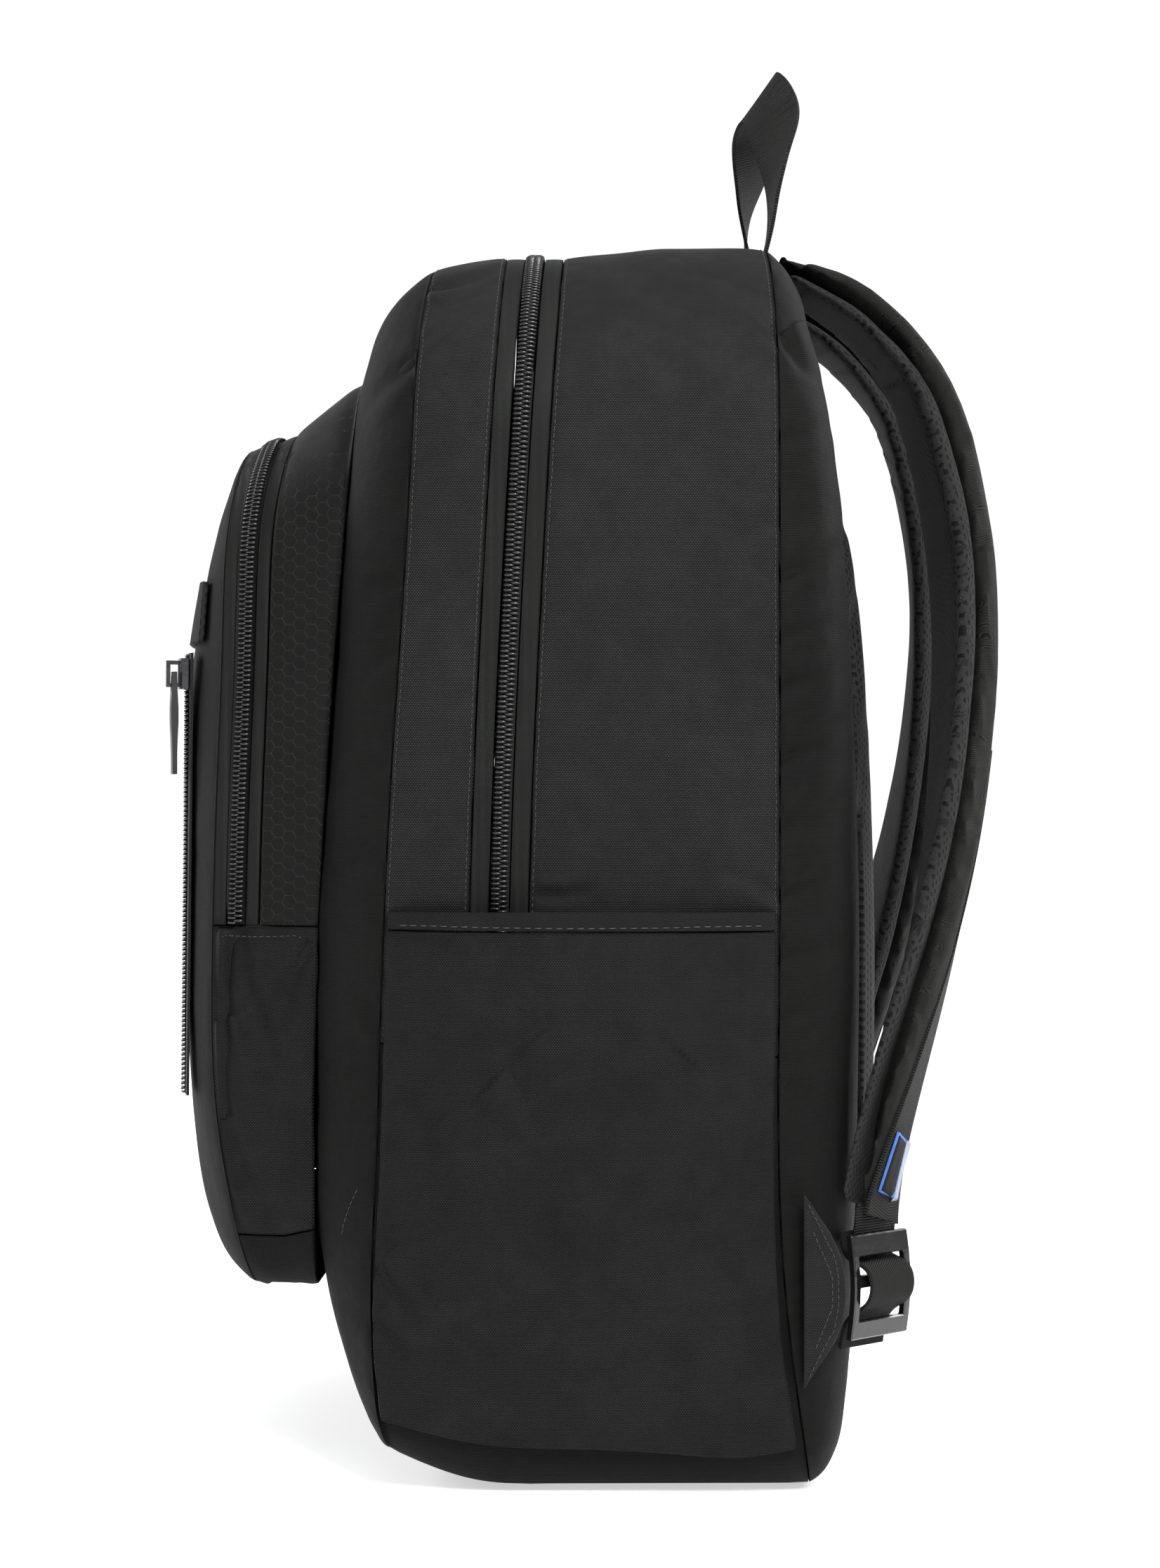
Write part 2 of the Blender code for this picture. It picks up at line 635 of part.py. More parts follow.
def make_adjuster(word, side):
    """Webbing from the side tab, up behind the lock, over its grip bar and back inside."""
    centre, across, out = buckle_frame(side)
    local = [(-24, -7.0), (-19, -6.2), (-14, -4.8), (-9.8, -0.4), (-7.4, 5.4), (-2.5, 8.4), (3, 8.6),
             (7.6, 6.0), (9.4, 1.2), (10.2, -3.2), (14, -6.4), (20, -7.2)]
    route = []
    for v, n in local:
        point = centre + Vector((0, 0, v)) + out * n
        route.append((*point, WEBBING_WIDTH - 0.5, 1.2, -side * BUCKLE_TURN, 0))
    strip(f"adjuster_webbing_{word}", NARROW, route, tuple(out), steps=1, across=2)


def make_side_tab(word, side):
    """Folded triangle of cloth in the rear seam that carries the adjuster webbing."""
    seam_x, tip_x = HALF_WIDTH + 1.0, HALF_WIDTH - 4.5
    outline = [(82.5, 112), (90, 101), (99, 87), (99, 62), (90, 50), (82.5, 39)]
    points = []
    for offset in (2.2, 0.0):
        for y, z in outline:
            x = seam_x + (tip_x - seam_x) * (y - 82.5) / 16.5 + offset
            points.append((side * x, y, z))
    count = len(outline)
    faces = [tuple(range(count)), tuple(range(2 * count - 1, count - 1, -1))]
    faces += [(k, (k + 1) % count, count + (k + 1) % count, count + k) for k in range(count)]
    add_object(f"side_tab_{word}", points, faces, FABRIC)


def make_handle():
    """Grab handle: webbing feet in the top seam, legs that twist, and a leaning crossing."""
    rows = [(38, 73.5, 475, 0, 0), (38, 76, 486, 1, 0), (37, 77.5, 500, 6, 0), (34, 78.5, 515, 22, 6),
            (26, 79, 530, 52, 22), (14, 77, 541, 76, 44), (0, 74, 548, 90, 56), (-13, 73.5, 543.5, 97, 48),
            (-24, 74, 534.5, 112, 28), (-32, 72, 520, 145, 10), (-36, 69.5, 505, 168, 0),
            (-38, 70, 490, 178, 0), (-38, 73.5, 475, 180, 0)]
    route = [(x, y, z, WEBBING_WIDTH, WEBBING, turn, tilt) for x, y, z, turn, tilt in rows]
    strip("handle_loop", NARROW, route, (0, -1, 0), across=2, pivot=(0, *HANDLE_AXIS))


def make_back(body):
    """Foam board behind the back panel, and two air-mesh pads on its outside."""
    columns, rows = 6, 10
    for word, side in SIDES:
        sheets = []
        for offset in (6.5, GAP):
            sheet = []
            for r in range(rows + 1):
                z = 60 + 350 * r / rows
                line = []
                for c in range(columns + 1):
                    x = side * (10 + 66 * c / columns)
                    edge = min(1.0, 4 * min(r / rows, 1 - r / rows, c / columns, 1 - c / columns) + 0.25)
                    hit = on_surface(body, (x, 300, z), (0, -1, 0))
                    rise = GAP + 0.2 + (offset - GAP) * edge
                    line.append(hit + Vector((0, rise, 0)))
                sheet.append(line)
            sheets.append(sheet)
        sheet_solid(f"back_pad_{word}", MESH, sheets)
    sheets = []
    for depth in (3.2, 8.2):
        sheet = []
        for r in range(rows + 1):
            z = 45 + 365 * r / rows
            sheet.append([on_surface(body, (x, 300, z), (0, -1, 0)) - Vector((0, depth, 0))
                          for x in np.linspace(-92, 92, 7)])
        sheets.append(sheet)
    sheet_solid("back_foam", FOAM, sheets)


def make_base_board():
    """Stiffener that lies on the base gusset inside."""
    sheets = [[[(x, y, z) for x in (-122, 0, 122)] for y in (-38, 0, 68)] for z in (6.0, 3.0)]
    sheet_solid("base_board", FOAM, sheets)


def make_zips(front_zip):
    """Sliders and pulls of the main, organiser and small pocket zips."""
    main = ((-38, "main_left", (-1, 0, 0)), (-22, "main_right", (1, 0, 0)))
    for x, word, travel in main:
        frame = zip_frame((x, -17, TOP_ZIP + 0.2), travel, (0, -0.05, 1))
        height = make_slider(f"{word}_slider", frame)
        make_pull(f"{word}_pull", frame, height, travel, turn=4.5)
    side = zip_frame((-112.2, -131, 226), (0, 0.045, 1), (-0.97, -0.25, 0))
    height = make_slider("pocket_slider", side)
    make_pull("pocket_pull", side, height, (0, 0, -1))
    top, foot, outward = front_zip
    front = zip_frame(top, foot - top, outward)
    height = make_slider("front_slider", front)
    make_pull("front_pull", front, height, (0, 0, -1), length=40)


def main():
    clear_scene()
    body = body_shell()
    make_body(body)
    pocket = pocket_shell()
    make_pocket(pocket)
    for word, side in SIDES:
        make_side_pocket(word, side)
        make_side_tab(word, side)
        make_strap(word, side)
        make_buckle(word, side)
        make_adjuster(word, side)
    pocket_skin = pocket.surface()
    make_front_band(pocket_skin)
    front_zip = make_front_zip(pocket_skin)
    make_back(body.surface())
    make_base_board()
    make_handle()
    make_zips(front_zip)


main()
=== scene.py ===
"""Looks of the school backpack: cloth, padding, webbing, zips, stitching and studio."""
import math

import bmesh
import bpy
import numpy as np
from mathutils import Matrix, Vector
from mathutils.bvhtree import BVHTree
from mathutils.kdtree import KDTree


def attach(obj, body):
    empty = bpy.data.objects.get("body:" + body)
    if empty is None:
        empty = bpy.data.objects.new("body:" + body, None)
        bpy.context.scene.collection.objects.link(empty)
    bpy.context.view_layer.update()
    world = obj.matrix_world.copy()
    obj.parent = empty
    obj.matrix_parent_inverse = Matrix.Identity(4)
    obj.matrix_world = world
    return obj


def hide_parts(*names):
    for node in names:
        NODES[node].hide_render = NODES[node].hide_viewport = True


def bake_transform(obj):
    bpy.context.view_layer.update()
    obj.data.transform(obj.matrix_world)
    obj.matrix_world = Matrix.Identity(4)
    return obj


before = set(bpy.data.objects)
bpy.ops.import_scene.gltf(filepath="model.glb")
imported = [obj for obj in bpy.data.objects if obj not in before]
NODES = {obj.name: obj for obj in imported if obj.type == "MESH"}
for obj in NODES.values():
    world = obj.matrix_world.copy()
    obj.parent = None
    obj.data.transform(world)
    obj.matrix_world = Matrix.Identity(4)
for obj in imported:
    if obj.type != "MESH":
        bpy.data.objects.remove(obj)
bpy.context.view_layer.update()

MM = 0.001
SIDES = (("left", -1), ("right", 1))

# Weaves, in mm
WEAVE_PITCH = (0.95, 0.63)
RIB_PITCH = 0.65
HEX_PITCH = 4.9

# Stitches and coil loops, in metres
STITCH_PITCH = 3.9 * MM
THREAD = 0.22 * MM
COIL_PITCH = 1.87 * MM

# One coil loop, in mm: distance across and up at each point, and the thread's radius there
COIL_PROFILE = ((-0.55, 0.62), (0.5, 0.86), (1.9, 0.80), (2.85, 0.40), (3.0, -0.35))
COIL_RADII = (0.30, 0.46, 0.48, 0.46, 0.40)

# Scale of every sewn-in fold's height, and a strap's half width in mm
FOLD_DEPTH = 2.1
STRAP_HALF = 33

# One axis of a direction at 45 degrees
DIAGONAL = 0.70711

# Cloths that belong to another cloth's slot: a finer ribbed cloth, and a copy of the oxford cloth painted
# darker as painted shade for the side pockets low on the bag
CLOTH_SLOT = {"face_fabric": "panel_fabric", "pocket_fabric": "oxford_fabric"}

# Centres that the arched pieces wind round, in metres: x and z, y and z for a strap
ARCH_CENTRE_Z = 0.24
HANDLE_CENTRE = (0, 0.475)
STRAP_CENTRE = (0.06, 0.28)

# Starting distance from the middle of stitches that are then laid on the cloth
SLIP_STITCH_X = 118 * MM
DART_STITCH_X = 145 * MM

# Label: its coloured border, the dark field's distance from the fold's edge, and the fold's width
LABEL_BORDER = 1.4 * MM
LABEL_FIELD_EDGE = 5.4 * MM
LABEL_FOLD_WIDTH = 4.0 * MM

# Studio, in metres and watts. The backdrop's strength goes from the third value to the fourth as
# the direction's x goes from the first to the second.
CAMERA_PLACE = (1.40, 0.0, 0.263)
CAMERA_LENS = 77.6
FLOOR_HALF = 40
FLOOR_Z = -0.4 * MM
PAPER_GLOW = 0.55
BACKDROP = (-0.80, -0.93, 0.42, 1.03)

# Each light's name, place, target, size and power
LIGHTS = (
    ("key", (1.15, 0.30, 1.25), (0.15, 0, 0.34), (0.35, 0.5), 22),
    ("front_rim", (0.55, -1.5, 0.95), (0.1, -0.08, 0.26), (0.2, 0.4), 2.2),
    ("rear_rim", (0.45, 1.5, 1.15), (0.1, 0.1, 0.28), (0.2, 0.4), 2.4),
    ("top", (0.5, 0.1, 1.9), (0, 0, 0.4), (0.8, 1.2), 5),
    ("rear_fill", (-1.0, 1.9, 1.2), (0, 0.1, 0.28), (1.0, 1.0), 34),
    ("front_fill", (-1.0, -1.9, 1.1), (0, -0.1, 0.25), (1.0, 1.0), 24),
)

# Sewn-in folds: from (y, z) to (y, z), half width, and height at the start, in mm
BACK_FOLDS = ((77, 341, 99, 356, 4.0, -1.5), (77, 318, 93, 328, 3.0, -0.9), (77, 300, 97, 311, 3.2, -1.1),
              (77, 273, 101, 292, 3.6, -1.2), (77, 248, 99, 262, 3.2, -1.0), (77, 222, 92, 233, 3.0, -1.1),
              (77, 200, 96, 208, 3.0, -0.9), (77, 428, 90, 412, 2.6, -1.1), (77, 392, 95, 400, 4.0, -0.8),
              (78, 178, 95, 190, 3.4, -0.9), (80, 150, 94, 142, 3.6, -0.8))
FRONT_FOLDS = ((-60, 452, -30, 459, 2.2, -1.3), (-61, 444, -34, 450, 2.0, -1.0),
               (-62, 425, -44, 436, 2.6, -0.7), (-64, 330, -50, 338, 3.0, -0.6),
               (-68, 262, -52, 268, 3.0, -0.5))
WRAP_FOLDS = ((-62, 420, -82, 400, 3.6, -1.2), (-66, 338, -84, 330, 3.4, -1.0),
              (-68, 312, -86, 296, 3.0, -0.8), (-70, 268, -90, 262, 3.2, -0.9),
              (-72, 238, -92, 226, 3.4, -0.8), (-74, 176, -94, 190, 3.2, -0.7))
REAR_FOLDS = ((74, 222, 48, 230, 2.6, -0.9), (73, 430, 52, 444, 3.0, -1.0), (74, 300, 58, 306, 3.0, -0.5),
              (74, 360, 60, 352, 3.0, -0.5), (-12, 222, 8, 226, 2.6, -0.7))
SLIP_FOLDS = ((-136, 204, -120, 128, 4.2, -1.9), (-129, 205, -108, 150, 3.8, -1.4),
              (-140, 168, -116, 92, 4.6, -1.8), (-104, 200, -112, 168, 3.4, -1.0),
              (-143, 128, -124, 84, 4.0, -1.4))
SIDE_FOLDS = ((-73, 82, -52, 60, 3.4, -0.9), (-73, 62, -58, 52, 3.0, -0.7), (78, 50, 62, 70, 4.2, -0.7),
              (-30, 150, 0, 120, 9.0, -0.9), (36, 160, 6, 126, 9.0, -0.8), (-40, 60, -4, 84, 9.0, -0.7))

scene = bpy.context.scene
made_materials = {}


# --- Numbers: smooth noise and paths ----------------------------------------------------------


def noise(points, seed):
    """Smooth 3-D gradient noise, about -1 to 1, at an array of points in cells."""
    random = np.random.default_rng(seed)
    order = random.permutation(256)
    slopes = random.normal(size=(256, 3))
    slopes /= np.linalg.norm(slopes, axis=1, keepdims=True)
    cell = np.floor(points).astype(int)
    inside = points - cell
    fade = inside**3 * (inside * (inside * 6 - 15) + 10)
    total = np.zeros(len(points))
    for corner in np.ndindex(2, 2, 2):
        at = (cell + corner) & 255
        index = order[(order[(order[at[:, 0]] + at[:, 1]) & 255] + at[:, 2]) & 255]
        value = ((inside - corner) * slopes[index]).sum(axis=1)
        share = np.where(np.array(corner) == 1, fade, 1 - fade).prod(axis=1)
        total += value * share
    return total * 1.6


def resample(path, step):
    """Points every step along a polyline, with the distance of each from its start."""
    path = np.array(path, float)
    lengths = np.concatenate([[0], np.cumsum(np.linalg.norm(np.diff(path, axis=0), axis=1))])
    count = max(2, int(round(lengths[-1] / step)) + 1)
    at = np.linspace(0, lengths[-1], count)
    return np.stack([np.interp(at, lengths, path[:, k]) for k in range(3)], axis=1), at


def smooth_path(path, rounds=2):
    """Rounds a polyline's corners and keeps its ends."""
    path = np.array(path, float)
    for _ in range(rounds):
        inner = [p * 0.75 + q * 0.25 for p, q in zip(path[:-1], path[1:])]
        outer = [p * 0.25 + q * 0.75 for p, q in zip(path[:-1], path[1:])]
        mixed = [point for pair in zip(inner, outer) for point in pair]
        path = np.array([path[0], *mixed[1:-1], path[-1]])
    return path


def corners(node):
    """A CAD node's points as an array."""
    return np.array([v.co for v in NODES[node].data.vertices], float)


def angle_groups(points, gap, from_first):
    """An arched piece's points in groups, by their angle round the arch's centre.

    A group ends where the angle has grown by more than gap since its first point (from_first), or
    since the point before.
    """
    angle = np.arctan2(points[:, 0], points[:, 2] - ARCH_CENTRE_Z)
    order = np.argsort(angle)
    start = 0
    for k in range(1, len(order) + 1):
        if k == len(order) or angle[order[k]] - angle[order[start if from_first else k - 1]] > gap:
            yield points[order[start:k]]
            start = k


def arch_line(node):
    """Middle line of an arched strip, from its left foot over the top to its right foot."""
    return np.array([group.mean(axis=0) for group in angle_groups(corners(node), 0.035, True)])


def rim_line(node, front=True):
    """An arched panel's front or rear edge on its outer side, from left foot to right foot."""
    line = []
    for group in angle_groups(corners(node), 0.03, False):
        extreme = group[:, 1].min() if front else group[:, 1].max()
        edge = group[np.abs(group[:, 1] - extreme) < 1.2 * MM]
        outermost = np.argmax(np.linalg.norm(edge[:, [0, 2]] - (0, ARCH_CENTRE_Z), axis=1))
        line.append(edge[outermost])
    return np.array(line)


def nearest_on(line, points):
    """Index of the line's point nearest to each of the given points."""
    tree = KDTree(len(line))
    for k, point in enumerate(line):
        tree.insert(point, k)
    tree.balance()
    return np.array([tree.find(point)[1] for point in points])


def middle_line(points, centre, axes, bins):
    """Middle line of a long piece that winds round a centre, from angle to angle."""
    flat = points[:, axes] - centre
    angle = np.arctan2(flat[:, 0], flat[:, 1])
    order = np.argsort(angle)
    edges = np.linspace(angle.min(), angle.max(), bins + 1)
    line = [points[order][(angle[order] >= low) & (angle[order] <= high)].mean(axis=0)
            for low, high in zip(edges[:-1], edges[1:])
            if ((angle >= low) & (angle <= high)).any()]
    return np.array(line)


# --- Mesh making ------------------------------------------------------------------------------


def new_object(name, points, faces, smooth=True):
    mesh = bpy.data.meshes.new(name)
    mesh.from_pydata([tuple(p) for p in points], [], faces)
    mesh.validate()
    piece = bpy.data.objects.new(name, mesh)
    scene.collection.objects.link(piece)
    if smooth:
        mesh.shade_smooth()
    return piece


def apply_modifiers(piece):
    graph = bpy.context.evaluated_depsgraph_get()
    mesh = bpy.data.meshes.new_from_object(piece.evaluated_get(graph))
    piece.modifiers.clear()
    piece.data = mesh
    return piece


def thin_sheet(name, grid, columns, thickness, offset=-1.0):
    """A sheet with a thickness over a grid of points, given row by row."""
    rows = len(grid) // columns
    faces = [(r * columns + c, r * columns + c + 1, (r + 1) * columns + c + 1, (r + 1) * columns + c)
             for r in range(rows - 1) for c in range(columns - 1)]
    sheet = new_object(name, grid, faces)
    thick = sheet.modifiers.new("thick", "SOLIDIFY")
    thick.thickness = thickness
    thick.offset = offset
    return apply_modifiers(sheet)


def points_of(piece):
    flat = np.empty(len(piece.data.vertices) * 3, np.float32)
    piece.data.vertices.foreach_get("co", flat)
    return flat.reshape(-1, 3).astype(float)


def normals_of(piece):
    flat = np.empty(len(piece.data.vertices) * 3, np.float32)
    piece.data.vertices.foreach_get("normal", flat)
    return flat.reshape(-1, 3).astype(float)


def move_points(piece, points):
    piece.data.vertices.foreach_set("co", np.asarray(points, np.float32).ravel())
    piece.data.update()


def cloth_copy(node, name, levels, crease=50):
    """A rounded, finely divided copy of a CAD panel, keeping its edges."""
    work = bmesh.new()
    work.from_mesh(NODES[node].data)
    bmesh.ops.remove_doubles(work, verts=work.verts, dist=2e-5)
    bmesh.ops.join_triangles(work, faces=work.faces, angle_face_threshold=math.radians(35),
                             angle_shape_threshold=math.radians(70))
    layer = work.edges.layers.float.get("crease_edge") or work.edges.layers.float.new("crease_edge")
    for edge in work.edges:
        if edge.calc_face_angle(0) > math.radians(crease):
            edge[layer] = 1.0
    mesh = bpy.data.meshes.new(name)
    work.to_mesh(mesh)
    work.free()
    piece = bpy.data.objects.new(name, mesh)
    scene.collection.objects.link(piece)
    divide = piece.modifiers.new("divide", "SUBSURF")
    divide.levels = divide.render_levels = levels
    apply_modifiers(piece)
    piece.data.shade_smooth()
    return piece


def rim_distance(piece, angle=50):
    """Distance of each point from the panel's nearest edge."""
    work = bmesh.new()
    work.from_mesh(piece.data)
    rim = {v.index for e in work.edges if e.calc_face_angle(0) > math.radians(angle) for v in e.verts}
    tree = KDTree(len(rim))
    for k in rim:
        tree.insert(piece.data.vertices[k].co, k)
    tree.balance()
    work.free()
    return np.array([tree.find(v.co)[2] for v in piece.data.vertices])


def fold_lift(cells, folds, flank=90):
    """Height in mm of sewn-in folds on the bag's sides, more than flank mm from its middle."""
    lift = np.zeros(len(cells))
    for y0, z0, y1, z1, width, height in folds:
        run = np.array([y1 - y0, z1 - z0], float)
        length = np.linalg.norm(run)
        run /= length
        offset = cells[:, 1:] - (y0, z0)
        along = offset @ run
        across = offset @ np.array([-run[1], run[0]])
        across = across + 0.08 * length * np.sin(along / length * 3.0)
        fade = np.clip(1 - along / length, 0, 1) ** 0.8 * (along > -4)
        ridge = np.exp(-(across / width) ** 2)
        trough = np.exp(-((across - 1.9 * width) / (1.3 * width)) ** 2)
        lift += FOLD_DEPTH * height * fade * (ridge - 0.55 * trough) * (np.abs(cells[:, 0]) > flank)
    return lift


def shape_cloth(piece, seed, puff=1.0, pucker=0.5, sag=1.0, folds=None, flat_back=False):
    """Pulls a panel in at its seams, puffs it between them, and adds puckers and soft dents.

    flat_back keeps the middle of the back panel in its place under the pads.
    """
    points, normals = points_of(piece), normals_of(piece)
    away = rim_distance(piece) / MM
    near = np.exp(-away / 9)
    lift = puff * (1 - np.exp(-away / 5)) - 0.3 * np.exp(-away / 1.0)
    cells = points / MM
    lift += pucker * near * (1 - np.exp(-away / 1.5)) * noise(cells / (16, 24, 7.5), seed)
    lift += sag * (1 - np.exp(-away / 22)) * noise(cells / (75, 48, 62), seed + 1)
    lift += 0.35 * sag * (1 - np.exp(-away / 10)) * noise(cells / (30, 22, 19), seed + 2)
    if folds:
        lift += fold_lift(cells, folds) * (1 - np.exp(-away / 1.5))
    if flat_back:
        middle = np.clip((125 - np.abs(cells[:, 0])) / 15, 0, 1) * (cells[:, 1] > 85)
        lift *= 1 - 0.92 * middle
    move_points(piece, points + normals * (lift * MM)[:, None])


def set_cloth_uv(piece, across, along):
    """Stores cloth coordinates in metres for the weave, one pair for each point."""
    layer = piece.data.uv_layers.get("cloth") or piece.data.uv_layers.new(name="cloth")
    index = np.empty(len(piece.data.loops), np.int32)
    piece.data.loops.foreach_get("vertex_index", index)
    pairs = np.stack([across[index], along[index]], axis=1).astype(np.float32)
    layer.data.foreach_set("uv", pairs.ravel())


def along_line(points, line, axes):
    """How far along a line each point lies, measured in the given axes."""
    dense, reach = resample(line, 2 * MM)
    tree = KDTree(len(dense))
    for k, point in enumerate(dense):
        spot = [point[a] if a in axes else 0.0 for a in range(3)]
        tree.insert(spot, k)
    tree.balance()
    out = np.empty(len(points))
    for k, point in enumerate(points):
        spot = [point[a] if a in axes else 0.0 for a in range(3)]
        near, index = tree.find(spot)[:2]
        other = min(index + 1, len(dense) - 1) if index == 0 else index - 1
        step = Vector(near) - Vector([dense[other][a] if a in axes else 0.0 for a in range(3)])
        extra = 0.0
        if step.length > 1e-9:
            extra = (Vector(spot) - Vector(near)).dot(step.normalized())
            extra = extra if other < index else -extra
        out[k] = reach[index] + extra
    return out


def strip_uv(piece, line):
    """Cloth coordinates of a strap: along its middle line, and round its section."""
    points = points_of(piece)
    dense, reach = resample(line, 2 * MM)
    tangents = np.gradient(dense, axis=0)
    tangents /= np.linalg.norm(tangents, axis=1, keepdims=True)
    near = nearest_on(dense, points)
    offset = points - dense[near]
    forward = (offset * tangents[near]).sum(axis=1)
    side = np.array((1.0, 0.0, 0.0))
    across = offset @ side
    rest = offset - np.outer(across, side) - tangents[near] * forward[:, None]
    up = np.cross(tangents[near], side)
    depth = (rest * up).sum(axis=1)
    set_cloth_uv(piece, across + depth, reach[near] + forward)


def dress(piece, material):
    """Gives a piece one material."""
    piece.data.materials.clear()
    piece.data.materials.append(look(material))


def finish_piece(piece, body, slot, material, *nodes):
    """Dresses a piece, makes it ride on a body, and lets it stand for CAD nodes."""
    dress(piece, material)
    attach(piece, body)
    if nodes:
        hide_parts(*nodes)


def tree_of(piece):
    """Search tree over a piece's surface."""
    bpy.context.view_layer.update()
    return BVHTree.FromObject(piece, bpy.context.evaluated_depsgraph_get())


def settle(piece, tree, reach=6.0, clear=0.15):
    """Draws a panel's sewn edge up to the cloth behind it, so that no gap shows."""
    points = points_of(piece)
    for k, point in enumerate(points):
        near, up, _, gap = tree.find_nearest(Vector(point), reach * MM)
        if near is None:
            continue
        target = np.array(near + up * clear * MM)
        points[k] += (target - point) * math.exp(-(gap / MM / (0.45 * reach)) ** 2)
    move_points(piece, points)


def laid_on(tree, path, lift, reach=0.02):
    """A path moved onto a surface, with the surface's direction at each point."""
    out, ups = [], []
    for point in path:
        near, up, _, gap = tree.find_nearest(Vector(point), reach)
        if near is None:
            near, up = Vector(point), Vector((0, 0, 1))
        out.append(np.array(near + up * lift))
        ups.append(np.array(up))
    return np.array(out), np.array(ups)


def tube_mesh(points, faces, path, radii, sides, ups=None):
    """Adds a closed round tube along a short path to growing lists of points and faces."""
    path = np.array(path, float)
    tangents = np.gradient(path, axis=0)
    start = len(points)
    for k, centre in enumerate(path):
        along = tangents[k] / max(np.linalg.norm(tangents[k]), 1e-12)
        up = np.array(ups[k] if ups is not None else (0.3, 0.2, 1.0), float)
        first = np.cross(along, up)
        first /= max(np.linalg.norm(first), 1e-12)
        second = np.cross(first, along)
        radius = radii[k] if np.ndim(radii) else radii
        for s in range(sides):
            angle = 2 * math.pi * s / sides
            points.append(centre + radius * (math.cos(angle) * first + math.sin(angle) * second))
    for k in range(len(path) - 1):
        for s in range(sides):
            a, b = start + k * sides + s, start + k * sides + (s + 1) % sides
            faces.append((a, b, b + sides, a + sides))
    faces.append(tuple(start + s for s in reversed(range(sides))))
    faces.append(tuple(start + (len(path) - 1) * sides + s for s in range(sides)))


def stitch_row(points, faces, path, ups, pitch=STITCH_PITCH, share=0.62, thread=THREAD):
    """Lock stitches along a path: short threads that dip into the cloth at both ends."""
    path, ups = np.array(path), np.array(ups)
    lengths = np.concatenate([[0], np.cumsum(np.linalg.norm(np.diff(path, axis=0), axis=1))])
    count = int(lengths[-1] / pitch)
    for k in range(count):
        at = np.linspace((k + 0.2) * pitch, (k + 0.2 + share) * pitch, 4)
        run = np.stack([np.interp(at, lengths, path[:, a]) for a in range(3)], axis=1)
        up = np.stack([np.interp(at, lengths, ups[:, a]) for a in range(3)], axis=1)
        bow = np.array([-1.2, 0.25, 0.25, -1.2]) * thread
        tube_mesh(points, faces, run + up * bow[:, None], thread, 5, up)


# --- Materials --------------------------------------------------------------------------------


